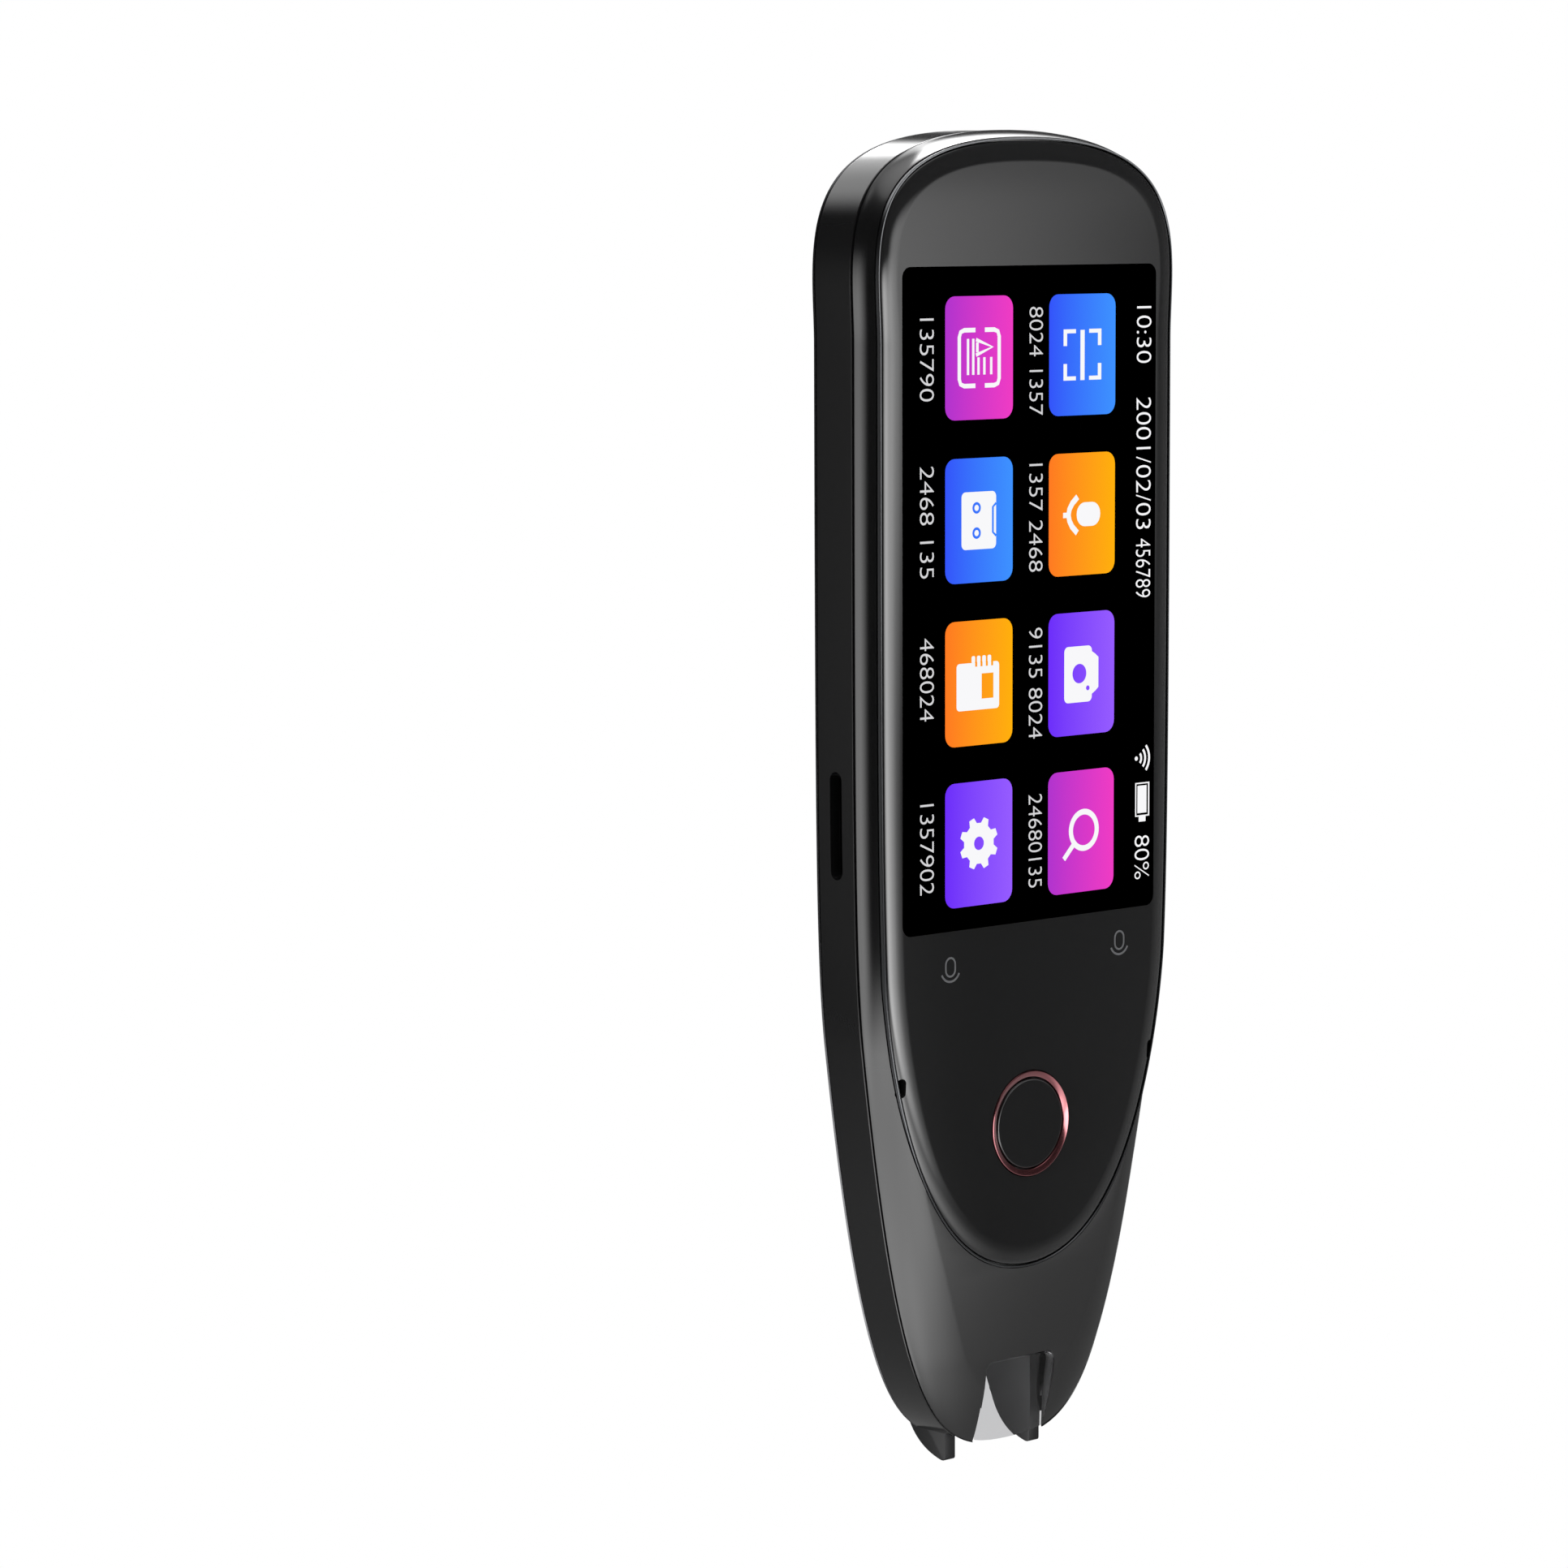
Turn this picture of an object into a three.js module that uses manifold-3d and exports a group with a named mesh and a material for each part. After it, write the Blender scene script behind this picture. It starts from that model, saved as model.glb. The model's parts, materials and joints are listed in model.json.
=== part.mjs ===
// A translation scanner pen: a slim handheld with a landscape touch display, a home button in
// a ring, side keys, a memory card slot, a rear camera and speaker, and a forked scanning tip
// that is pressed on the page. It stands on its tip here. X is across the pen, Y runs from the
// display in front (minus) to the back cover (plus), and Z runs from the tip up to the top end.
import * as THREE from "three";
import { mergeVertices } from "three/addons/utils/BufferGeometryUtils.js";
import Module from "manifold-3d";

const wasm = await Module();
wasm.setup();

// Overall size of the pen, in millimetres
const penLength = 150;
const bodyWidth = 47;
const bodyThickness = 14.4;
const feetDrop = 1.7;

// Outline of the body seen from the front: an arched top, long sides and a tapered nose
const shoulderDrop = 23.35;
const topPullShare = 1.171;
const shoulderPullShare = 0.436;
const sidePull = 50;
const kneeHeight = 48.8;
const kneeInset = 1.3;
const kneeLeanShare = 0.13;
const kneePullUp = 10.1;
const kneePullDown = 44;
const tipPull = 10.8;
const noseHubLift = 11;

// Flat band of the side frame and the seams to the two shells
const bandWidth = 5.8;
const bandCentre = -0.35;
const frameWall = 1.5;
const seamGap = 0.2;

// Shell walls, the snap lip inside each rim and the rolled faces
const shellWall = 1.3;
const lipGap = 0.2;
const lipWall = 0.8;
const lipDepth = 0.8;
const backRoll = 9.5;
const backTipRoll = 8.6;
const backRollPullShare = 0.45;
const frontRoll = 0.5;
const frontNoseRoll = 5.6;
const frontRollPullShare = 0.2;
const frontDepthPullShare = 0.8;
const rollBlendTop = 60;
const rollBlendBottom = 10;
const frontShellDrop = 0.5;
const noseZone = 26;
const frontNoseDrop = 2.5;
const backNoseDrop = 4.2;

// Cover glass, its trim and the ledge it is glued to
const glassInset = 1.2;
const glassThickness = 1.1;
const glassRoll = 2.4;
const glassRollPullShare = 0.7;
const glassEdgeDrop = 0.65;
const glassWaist = 57;
const glassBottom = 22.65;
const glassPullDown = 2.6;
const glassTipPull = 19.1;
const glassHubLift = 12;
const trimWidth = 0.25;
const trimGap = 0.1;
const trimProud = 0.1;
const glueGap = 0.3;
const ledgeWidth = 0.9;
const notchHeight = 45;
const notchLength = 2.2;
const notchWidth = 0.7;

// Display panel behind the glass
const displayBottom = 61.5;
const displayTopDrop = 15.2;
const displayBorder = 1.6;
const displayThickness = 1.7;
const displaySideGap = 0.3;

// Home button in its ring
const homeHeight = 38.8;
const homeRingRadius = 6;
const homeRingWidth = 0.7;
const homeRingProud = 0.15;
const homeGap = 0.2;
const homeFlangeThickness = 0.4;
const homeStemRadius = 1.5;
const homeTravel = 0.3;
const homeSwitchSize = 6;
const homePlungerRadius = 1.2;

// Chassis plate that carries the boards, and its screws
const fitGap = 0.3;
const chassisThickness = 1.4;
const chassisSideGap = 0.4;
const chassisBottom = 23.2;
const bossRadius = 1.7;
const bossRibReach = 3.2;
const bossRibHalf = 0.7;
const bossFloor = 0.5;
const screwRadius = 0.7;
const screwHeadRadius = 1.2;
const screwHeadHeight = 0.7;
const screwReach = 1;
const boreGap = 0.25;
const topScrewDrop = 9.6;
const topScrewInset = 4.9;
const noseScrewHeight = 25.2;
const noseScrewInset = 6.6;

// Main board, battery and what is soldered to the board
const boardThickness = 1;
const boardSideInset = 4.15;
const boardPastScrew = 1.1;
const boardUnderScrew = 3.6;
const boardBesideScrew = 2.7;
const boardStepDrop = 50;
const boardTongueWidth = 12;
const boardPastSlot = 9.9;
const batteryGap = 0.4;
const batteryThickness = 5;
const batteryBottom = 47;
const canHeight = 1.7;
const antennaThickness = 0.4;

// Memory card slot on the left side and its socket
const slotDrop = 76.1;
const slotLength = 12;
const slotWidth = 1.9;
const socketLength = 14.4;
const socketDepth = 11.4;
const socketThickness = 1.4;
const socketWall = 0.25;

// Charging port in the top end
const portWidth = 8.9;
const portHeight = 3.2;
const portWall = 0.3;
const portLength = 7.3;
const portRecess = 0.4;
const tongueWidth = 6.7;
const tongueThickness = 0.7;
const tongueRecess = 1;

// Side keys on the right side and their switches
const keyWidth = 2.4;
const keyProud = 0.7;
const keyGap = 0.3;
const keyEdge = 0.35;
const rockerDrop = 32.8;
const rockerLength = 20;
const powerDrop = 54.9;
const powerLength = 9.8;
const flangeThickness = 0.5;
const flangeOverhang = 0.3;
const rockerFlangeLength = 9;
const keyTravel = 0.35;
const plungerRadius = 0.6;
const plungerLength = 1;
const plungerFaceGap = 0.05;
const switchSize = 3.2;
const switchThickness = 1.3;
const rockerSwitchReach = 5;
const keyBoardThickness = 0.6;
const keyBoardWidth = 3.9;
const keyBoardMargin = 3.5;

// Rear camera and the speaker above it
const cameraDrop = 32;
const cameraRingRadius = 5.3;
const cameraRingWidth = 0.7;
const cameraProud = 0.4;
const cameraFlangeOverhang = 0.7;
const cameraFlangeThickness = 0.5;
const cameraGlassThickness = 0.6;
const cameraGlassDrop = 0.15;
const cameraBarrelRadius = 3.2;
const cameraBaseSize = 8.5;
const cameraBaseShare = 0.6;
const cameraLensRadius = 2;
const cameraLensRim = 0.5;
const speakerArcRadii = [12.8, 11.2, 9.65];
const speakerHoleRadius = 0.42;
const speakerHolesPerArc = 7;
const speakerHoleStep = Math.PI / 17.8;
const speakerWidth = 15;
const speakerLength = 9;
const speakerUnitDepth = 2.1;
const speakerMargin = 1.1;
const screenThickness = 0.2;
const screenGap = 0.15;

// Scan bay in the nose: the front arch with its clear window, and the open back arch
const frontArchHalf = 5.5;
const frontArchTop = 11.8;
const frontArchCorner = 1.3;
const windowGap = 0.15;
const windowHubLift = 19;
const backArchHalf = 8.1;
const backArchTop = 16.4;
const backArchCorner = 2.4;

// Forked tip that is pressed on the page
const forkHalf = 7.5;
const cheekWall = 1.6;
const forkTop = 15.1;
const forkCorner = 2;
const forkFront = -1.1;
const footCorner = 0.35;
const footFlat = 0.3;
const forkHeelPullBack = 3.8;
const forkHeelPullHeight = 1;
const forkHeelBack = 5.2;
const forkHeelHeight = 4.6;
const forkWaistBack = 7.7;
const forkWaistHeight = 8.5;
const forkTopBack = 6.4;
const tipTravel = 0.8;
const pinSpread = 4.7;
const pinRadius = 0.8;
const pinDepth = 1.2;
const pinPastGuide = 1;
const springRadius = 1.25;
const springWire = 0.2;
const springTurns = 4;
const springSteps = 8;
const wireSides = 5;
const springEndGap = 0.1;
const guideThickness = 2;
const guideSideInset = 7.3;
const guideFront = -3.9;
const guideBack = 4.4;
const tipSwitchHalf = 1.6;
const tipSwitchHeight = 2.8;
const tipSwitchBack = 3;
const tipPlungerRadius = 0.6;

// Scanning camera that looks down between the cheeks, its sensor board and its lights
const scanBarrelRadius = 2.2;
const scanFlangeRadius = 2.9;
const scanFlangeHeight = 3;
const scanBarrelDrop = 3.4;
const scanLensRadius = 1.4;
const scanLensThickness = 0.5;
const scanLensRecess = 0.9;
const scanApertureRadius = 2.8;
const sensorBoardSize = 5.8;
const sensorBoardThickness = 0.8;
const lightBoardHalf = 4.6;
const lightBoardBottom = 13.3;
const lightBoardHeight = 5.6;
const lightBoardThickness = 0.8;
const ledSize = 1.6;
const ledThickness = 0.7;
const ledSpread = 2.4;
const microphoneSize = 3;
const microphoneThickness = 1;
const microphoneInset = 5.4;

// Fineness of the faceted surfaces, and one overrun for every cut
const topSteps = 12;
const sideSteps = 9;
const noseSteps = 13;
const glassSteps = 12;
const rollSteps = 5;
const turnedSides = 32;
const smallSides = 14;
const holeSides = 6;
const cornerSteps = 4;
const overrun = 6;
const weldReach = 0.0001;

// Levels through the thickness, worked out from the sizes above
const halfWidth = bodyWidth / 2;
const glassFace = -bodyThickness / 2;
const backFace = bodyThickness / 2;
const bandFront = bandCentre - bandWidth / 2;
const bandBack = bandCentre + bandWidth / 2;
const frontRim = bandFront - seamGap;
const backRim = bandBack + seamGap;
const lipInset = frameWall + lipGap;
const innerInset = lipInset + lipWall;
const glassBack = glassFace + glassThickness;
const displayFront = glassBack + glueGap;
const displayBack = displayFront + displayThickness;
const ledgeFront = glassBack + glueGap;
const shellFrontFace = glassFace + frontShellDrop;
const chassisFront = displayBack + fitGap;
const chassisBack = chassisFront + chassisThickness;
const boardFront = chassisBack + fitGap;
const boardBack = boardFront + boardThickness;
const partsFront = boardBack + fitGap;
const guideTop = chassisBottom - fitGap;
const guideUnder = guideTop - guideThickness;
const coverInside = backFace - shellWall;
const portMouth = penLength - portRecess;
const portRoot = portMouth - portLength;

// Heights of what keeps its distance from the top end
const displayTop = penLength - displayTopDrop;
const slotHeight = penLength - slotDrop;
const rockerHeight = penLength - rockerDrop;
const powerHeight = penLength - powerDrop;
const cameraHeight = penLength - cameraDrop;
const boardStep = penLength - boardStepDrop;
const boardBottom = slotHeight - boardPastSlot;

// Finishes
const finish = (color, roughness, metalness) =>
  new THREE.MeshStandardMaterial({ color, roughness, metalness });
const gunmetal = finish(0x3a3b3d, 0.42, 0.55);
const frameGrey = finish(0x4a4b4d, 0.38, 0.7);
const glossBlack = finish(0x111214, 0.08, 0.1);
const trimBlack = finish(0x1c1d1f, 0.25, 0.6);
const panelBlack = finish(0x050506, 0.3, 0.1);
const tipBlack = finish(0x232426, 0.5, 0.1);
const redMetal = finish(0xa32a35, 0.3, 0.8);
const keyRed = finish(0xe0245e, 0.35, 0.4);
const clearSmoke = finish(0xc4c6c8, 0.1, 0);
const boardGreen = finish(0x15573a, 0.55, 0.05);
const steel = finish(0xb4b7ba, 0.35, 0.9);
const darkPlastic = finish(0x2b2c2e, 0.6, 0);
const batterySilver = finish(0x8d9196, 0.45, 0.5);
const goldFlex = finish(0xa8772c, 0.5, 0.3);
const lensBlue = finish(0x32406e, 0.05, 0.2);
const whiteLamp = finish(0xf2efd8, 0.4, 0);

const pen = new THREE.Group();

// Tidy a geometry into shared vertices with its faces pointing out
function closed(geometry) {
  const bare = new THREE.BufferGeometry();
  bare.setAttribute("position", geometry.getAttribute("position").clone());
  bare.setIndex(geometry.getIndex());
  const merged = mergeVertices(bare, weldReach);
  const from = merged.getIndex().array;
  const kept = [];
  for (let i = 0; i < from.length; i += 3) {
    const [a, b, c] = [from[i], from[i + 1], from[i + 2]];
    if (a !== b && b !== c && c !== a) {
      kept.push(a, b, c);
    }
  }
  merged.setIndex(signedVolume(merged, kept) < 0 ? kept.reverse() : kept);
  return merged;
}

function signedVolume(geometry, index) {
  const place = geometry.getAttribute("position");
  const corners = [new THREE.Vector3(), new THREE.Vector3(), new THREE.Vector3()];
  let total = 0;
  for (let i = 0; i < index.length; i += 3) {
    corners.forEach((corner, k) => corner.fromBufferAttribute(place, index[i + k]));
    total += corners[0].dot(corners[1].clone().cross(corners[2]));
  }
  return total;
}

// Turn a closed geometry into a solid for cutting and joining, and back again
function solid(geometry) {
  const tidy = closed(geometry);
  const mesh = new wasm.Mesh({
    numProp: 3,
    vertProperties: Float32Array.from(tidy.getAttribute("position").array),
    triVerts: Uint32Array.from(tidy.getIndex().array),
  });
  return new wasm.Manifold(mesh);
}

function surface(body) {
  const mesh = body.getMesh();
  const geometry = new THREE.BufferGeometry();
  const places = new THREE.BufferAttribute(Float32Array.from(mesh.vertProperties), 3);
  geometry.setAttribute("position", places);
  geometry.setIndex(new THREE.BufferAttribute(Uint32Array.from(mesh.triVerts), 1));
  return geometry;
}

// Name a piece, give it its finish and add it to the pen
function add(name, shape, material) {
  const geometry = closed(shape.isBufferGeometry ? shape : surface(shape));
  geometry.computeVertexNormals();
  const mesh = new THREE.Mesh(geometry, material);
  mesh.name = name;
  pen.add(mesh);
}

// A box between two corners
function block(low, high) {
  const size = high.map((value, axis) => value - low[axis]);
  const middle = high.map((value, axis) => (value + low[axis]) / 2);
  return new THREE.BoxGeometry(...size).translate(...middle);
}

// A flat shape carried along one axis: drawn in XZ for Y, in YZ for X and in XY for Z
function carried(shape, axis, from, to) {
  const settings = { depth: to - from, bevelEnabled: false, curveSegments: cornerSteps };
  const geometry = new THREE.ExtrudeGeometry(shape, settings);
  const [x, y, z] = [0, 1, 2].map((k) => new THREE.Vector3().setComponent(k, 1));
  const turn = new THREE.Matrix4();
  if (axis === "y") {
    turn.makeBasis(x, z, y.clone().negate());
    return geometry.applyMatrix4(turn).translate(0, to, 0);
  }
  if (axis === "x") {
    turn.makeBasis(y, z, x);
    return geometry.applyMatrix4(turn).translate(from, 0, 0);
  }
  return geometry.translate(0, 0, from);
}

// A rounded rectangle from its centre, half sizes and corner radius
function rounded(across, up, halfAcross, halfUp, corner) {
  const shape = new THREE.Shape();
  const quarter = Math.PI / 2;
  const left = across - halfAcross + corner;
  const right = across + halfAcross - corner;
  const low = up - halfUp + corner;
  const high = up + halfUp - corner;
  shape.absarc(right, high, corner, 0, quarter);
  shape.absarc(left, high, corner, quarter, 2 * quarter);
  shape.absarc(left, low, corner, 2 * quarter, 3 * quarter);
  shape.absarc(right, low, corner, 3 * quarter, 4 * quarter);
  shape.closePath();
  return shape;
}

// A piece turned about an axis through a point: the profile lists radius and height pairs
function turned(profile, axis, centre, sides = turnedSides) {
  const points = profile.map(([radius, height]) => new THREE.Vector2(radius, height));
  const geometry = new THREE.LatheGeometry(points, sides);
  if (axis === "z") {
    geometry.rotateX(Math.PI / 2);
  }
  if (axis === "x") {
    geometry.rotateZ(-Math.PI / 2);
  }
  return geometry.translate(...centre);
}

function disc(radius, from, to, axis, centre, sides) {
  return turned([[0, from], [radius, from], [radius, to], [0, to]], axis, centre, sides);
}

// Half outline from the top centre down the right side to the bottom centre
function curvePoints(corners, steps) {
  const curve = new THREE.CubicBezierCurve(...corners.map((c) => new THREE.Vector2(...c)));
  return curve.getPoints(steps).map((point) => [point.x, point.y]);
}

function bodyHalf() {
  const shoulder = penLength - shoulderDrop;
  const lean = new THREE.Vector2(kneeLeanShare, 1).normalize();
  const knee = new THREE.Vector2(halfWidth - kneeInset, kneeHeight);
  const above = knee.clone().addScaledVector(lean, kneePullUp);
  const below = knee.clone().addScaledVector(lean, -kneePullDown);
  const shoulderPull = shoulder + shoulderPullShare * shoulderDrop;
  const top = curvePoints(
    [[0, penLength], [topPullShare * halfWidth, penLength],
      [halfWidth, shoulderPull], [halfWidth, shoulder]], topSteps);
  const side = curvePoints(
    [[halfWidth, shoulder], [halfWidth, shoulder - sidePull],
      above.toArray(), knee.toArray()], sideSteps);
  const nose = curvePoints(
    [knee.toArray(), below.toArray(), [tipPull, feetDrop], [0, feetDrop]], noseSteps);
  return [...top, ...side.slice(1), ...nose.slice(1)];
}

// Each point of a half outline gets the ray along which it is drawn inwards, to the middle line
function loopFrom(half, hubLow, hubHigh) {
  return half.map(([x, z]) => {
    const hub = THREE.MathUtils.clamp(z, hubLow, hubHigh);
    return { x, z, ray: new THREE.Vector2(-x, hub - z).normalize() };
  });
}

const bodyLoop = loopFrom(bodyHalf(), feetDrop + noseHubLift, penLength - halfWidth);

// The glass follows the body down to its waist and closes on its own curve above the nose
function glassHalf() {
  const inset = bodyLoop.map(({ x, z, ray }) => [x + ray.x * glassInset, z + ray.y * glassInset]);
  const upper = inset.filter(([, z]) => z > glassWaist);
  const [before, last] = upper.slice(-2).map((pair) => new THREE.Vector2(...pair));
  const down = last.clone().sub(before).normalize();
  const pull = last.clone().addScaledVector(down, glassPullDown);
  const lower = curvePoints(
    [last.toArray(), pull.toArray(), [glassTipPull, glassBottom], [0, glassBottom]], glassSteps);
  return [...upper, ...lower.slice(1)];
}

const glassLoop = loopFrom(
  glassHalf(), glassBottom + glassHubLift, penLength - halfWidth);

// A ring of points: the loop drawn inwards by an inset, at a level that may depend on the height
function ring(loop, inset, level) {
  const half = loop.map(({ x, z, ray }) => {
    const reach = typeof inset === "function" ? inset(z) : inset;
    const height = z + ray.y * reach;
    const y = typeof level === "function" ? level(height) : level;
    return [x + ray.x * reach, y, height];
  });
  const left = half.slice(1, -1).reverse().map(([x, y, z]) => [-x, y, z]);
  return [...half, ...left];
}

// Close a stack of rings: walls between neighbours, and rungs from side to side across the ends
function ringSolid(rings, looped = false) {
  const count = rings[0].length;
  const index = [];
  const spans = looped ? rings.length : rings.length - 1;
  for (let r = 0; r < spans; r += 1) {
    const a = r * count;
    const b = ((r + 1) % rings.length) * count;
    for (let i = 0; i < count; i += 1) {
      const j = (i + 1) % count;
      index.push(a + i, a + j, b + j, a + i, b + j, b + i);
    }
  }
  if (!looped) {
    const last = (rings.length - 1) * count;
    index.push(...rungs(count, 0).reverse(), ...rungs(count, last));
  }
  const geometry = new THREE.BufferGeometry();
  geometry.setAttribute("position", new THREE.Float32BufferAttribute(rings.flat(2), 3));
  geometry.setIndex(index);
  return geometry;
}

function rungs(count, start) {
  const half = count / 2;
  const index = [start, start + 1, start + count - 1];
  for (let i = 1; i < half - 1; i += 1) {
    const [a, b, c, d] = [i, i + 1, count - i - 1, count - i].map((k) => start + k);
    index.push(a, b, c, a, c, d);
  }
  index.push(start + half - 1, start + half, start + half + 1);
  return index;
}

// Half width of the body, or of the glass, at a height on its side
function halfWidthAt(height, loop = bodyLoop) {
  const at = loop.findIndex(({ z }) => z <= height);
  const [above, below] = [loop[at - 1], loop[at]];
  const share = (height - below.z) / (above.z - below.z);
  return THREE.MathUtils.lerp(below.x, above.x, share);
}

// Shares that shape the rolled edges and the drawn-in nose
const eased = (start, pull, end, share) =>
  (1 - share) ** 2 * start + 2 * share * (1 - share) * pull + share ** 2 * end;
const noseBlend = (z) => 1 - THREE.MathUtils.smoothstep(z, rollBlendBottom, rollBlendTop);
const noseShare = (z) => Math.max(0, 1 - (z - feetDrop) / noseZone) ** 2;
const backLevel = (z) => backFace - backNoseDrop * noseShare(z);
const frontLevel = (z) => shellFrontFace + frontNoseDrop * noseShare(z);

// Rings of a rolled face, from its middle out to the rim
function faceRings(rim, faceLevel, rollAt, pullShare, depthPullShare, loop = bodyLoop) {
  return Array.from({ length: rollSteps + 1 }, (_, k) => {
    const share = 1 - k / rollSteps;
    const inset = (z) => rollAt(z) * eased(0, pullShare, 1, share);
    const level = (z) => rim + (faceLevel(z) - rim) * eased(0, depthPullShare, 1, share);
    return ring(loop, inset, level);
  });
}

// Rings of a shell: its face out to the rim, then round the lip and back inside
function shellRings(rim, faceLevel, rollAt, pullShare, depthPullShare, outward) {
  const rings = faceRings(rim, faceLevel, rollAt, pullShare, depthPullShare);
  const wallLevel = (z) => faceLevel(z) - outward * shellWall;
  rings.push(ring(bodyLoop, lipInset, rim));
  rings.push(ring(bodyLoop, lipInset, rim - outward * lipDepth));
  rings.push(ring(bodyLoop, innerInset, rim - outward * lipDepth));
  for (let k = 0; k <= rollSteps; k += 1) {
    const share = k / rollSteps;
    const inner = (z) => innerInset + (rollAt(z) - shellWall / 2) * eased(0, pullShare, 1, share);
    const level = (z) => rim + (wallLevel(z) - rim) * eased(0, depthPullShare, 1, share);
    rings.push(ring(bodyLoop, inner, level));
  }
  return ringSolid(rings);
}

function backShellSolid() {
  const roll = (z) => THREE.MathUtils.lerp(backRoll, backTipRoll, noseBlend(z));
  return solid(shellRings(backRim, backLevel, roll, backRollPullShare, 1, 1));
}

const frontFace = [
  frontRim, frontLevel,
  (z) => THREE.MathUtils.lerp(frontRoll, frontNoseRoll, noseBlend(z)) + shellWall / 2,
  frontRollPullShare, frontDepthPullShare,
];

// An arch open at the bottom, used for the bay cuts, the window and the forked tip
function arch(half, top, corner, from, to) {
  const shape = rounded(0, (top - overrun) / 2, half, (top + overrun) / 2, corner);
  return solid(carried(shape, "y", from, to));
}

const bayCut = arch(backArchHalf, backArchTop, backArchCorner, bandFront - seamGap, backFace + overrun);

function backCover() {
  let cover = backShellSolid().subtract(bayCut);
  const hole = cameraRingRadius + homeGap;
  const centre = [0, 0, cameraHeight];
  cover = cover.subtract(solid(disc(hole, 0, backFace + overrun, "y", centre)));
  for (const { x, z } of speakerHoles()) {
    const drill = disc(speakerHoleRadius, 0, backFace + overrun, "y", [x, 0, z], holeSides);
    cover = cover.subtract(solid(drill));
  }
  add("back_cover", cover, gunmetal);
}

// Speaker holes in arcs round the centre of the camera
function speakerHoles() {
  return speakerArcRadii.flatMap((radius) =>
    Array.from({ length: speakerHolesPerArc }, (_, k) => {
      const angle = (k - (speakerHolesPerArc - 1) / 2) * speakerHoleStep;
      return { x: radius * Math.sin(angle), z: cameraHeight + radius * Math.cos(angle) };
    }));
}

function frontShell() {
  const opening = trimWidth + 2 * trimGap;
  let shell = solid(shellRings(...frontFace, -1));
  const recess = [glassFace - overrun, ledgeFront].map((y) => ring(glassLoop, -opening, y));
  const window = [glassFace - overrun, bandFront - seamGap].map((y) => ring(glassLoop, ledgeWidth, y));
  shell = shell.subtract(solid(ringSolid(window))).add(bosses());
  shell = shell.subtract(solid(ringSolid(recess)));
  shell = shell.subtract(bayCut);
  shell = shell.subtract(arch(
    frontArchHalf, frontArchTop, frontArchCorner, glassFace - overrun, backFace));
  for (const side of [-1, 1]) {
    shell = shell.subtract(notch(side));
  }
  add("front_shell", shell, gunmetal);
}

// Places of the screws, set in from the side of the body at their heights
const topScrewHeight = penLength - topScrewDrop;
const screws = [
  { across: halfWidthAt(topScrewHeight) - topScrewInset, height: topScrewHeight },
  { across: halfWidthAt(noseScrewHeight) - noseScrewInset, height: noseScrewHeight },
];

// Screw bosses behind the glass ledge, the upper two on a rib that reaches the wall
function bosses() {
  const seat = chassisFront - fitGap;
  const made = [];
  for (const side of [-1, 1]) {
    for (const { across, height } of screws) {
      const centre = [side * across, 0, height];
      const bore = disc(
        screwRadius + boreGap, ledgeFront + bossFloor, seat + overrun, "y", centre, smallSides);
      const xs = [side * across, side * (across + bossRibReach)].sort((a, b) => a - b);
      const rib = block(
        [xs[0], ledgeFront, height - bossRibHalf], [xs[1], seat, height + bossRibHalf]);
      const post = disc(bossRadius, ledgeFront, seat, "y", centre, smallSides);
      const boss = solid(post).add(solid(rib));
      made.push(boss.subtract(solid(bore)));
    }
  }
  return made.reduce((a, b) => a.add(b));
}

// Microphone notch in the edge of the glass, carried on through the ledge behind it
function notch(side) {
  const edge = halfWidthAt(notchHeight, glassLoop);
  const half = (notchWidth + trimWidth + trimGap) / 2;
  const middle = side * (edge - notchWidth + half);
  const shape = rounded(middle, notchHeight, half, notchLength / 2, half);
  return solid(carried(shape, "y", glassFace - overrun, bandFront - seamGap));
}

function sideFrame() {
  const rings = [
    ring(bodyLoop, 0, bandFront),
    ring(bodyLoop, 0, bandBack),
    ring(bodyLoop, frameWall, bandBack),
    ring(bodyLoop, frameWall, bandFront),
  ];
  let frame = solid(ringSolid(rings, true)).subtract(bayCut);
  for (const { height, length } of keys) {
    const wide = keyWidth / 2 + keyGap;
    const hole = rounded(bandCentre, height, wide, length / 2 + keyGap, wide);
    frame = frame.subtract(solid(carried(hole, "x", 0, halfWidth + overrun)));
  }
  const card = rounded(bandCentre, slotHeight, slotWidth / 2, slotLength / 2, slotWidth / 2);
  frame = frame.subtract(solid(carried(card, "x", -halfWidth - overrun, 0)));
  const mouth = portHeight / 2 + boreGap;
  const port = rounded(0, bandCentre, portWidth / 2 + boreGap, mouth, mouth);
  frame = frame.subtract(solid(carried(port, "z", portRoot, penLength + overrun)));
  add("side_frame", frame, frameGrey);
}

const keys = [
  { height: rockerHeight, length: rockerLength },
  { height: powerHeight, length: powerLength },
];

// Cover glass with its rolled edge, and the thin trim that lines its seam
function coverGlass() {
  const rings = [];
  for (let k = rollSteps; k >= 0; k -= 1) {
    const share = k / rollSteps;
    const inset = glassRoll * eased(0, 0, 1, share);
    const level = glassFace + glassEdgeDrop * (1 - eased(0, glassRollPullShare, 1, share));
    rings.push(ring(glassLoop, inset, level));
  }
  rings.push(ring(glassLoop, 0, glassBack));
  const hole = homeRingRadius + trimGap;
  const centre = [0, 0, homeHeight];
  let pierced = solid(ringSolid(rings)).subtract(
    solid(disc(hole, glassFace - overrun, backFace, "y", centre)));
  for (const side of [-1, 1]) {
    pierced = pierced.subtract(notch(side));
  }
  add("cover_glass", pierced, glossBlack);
}

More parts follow.
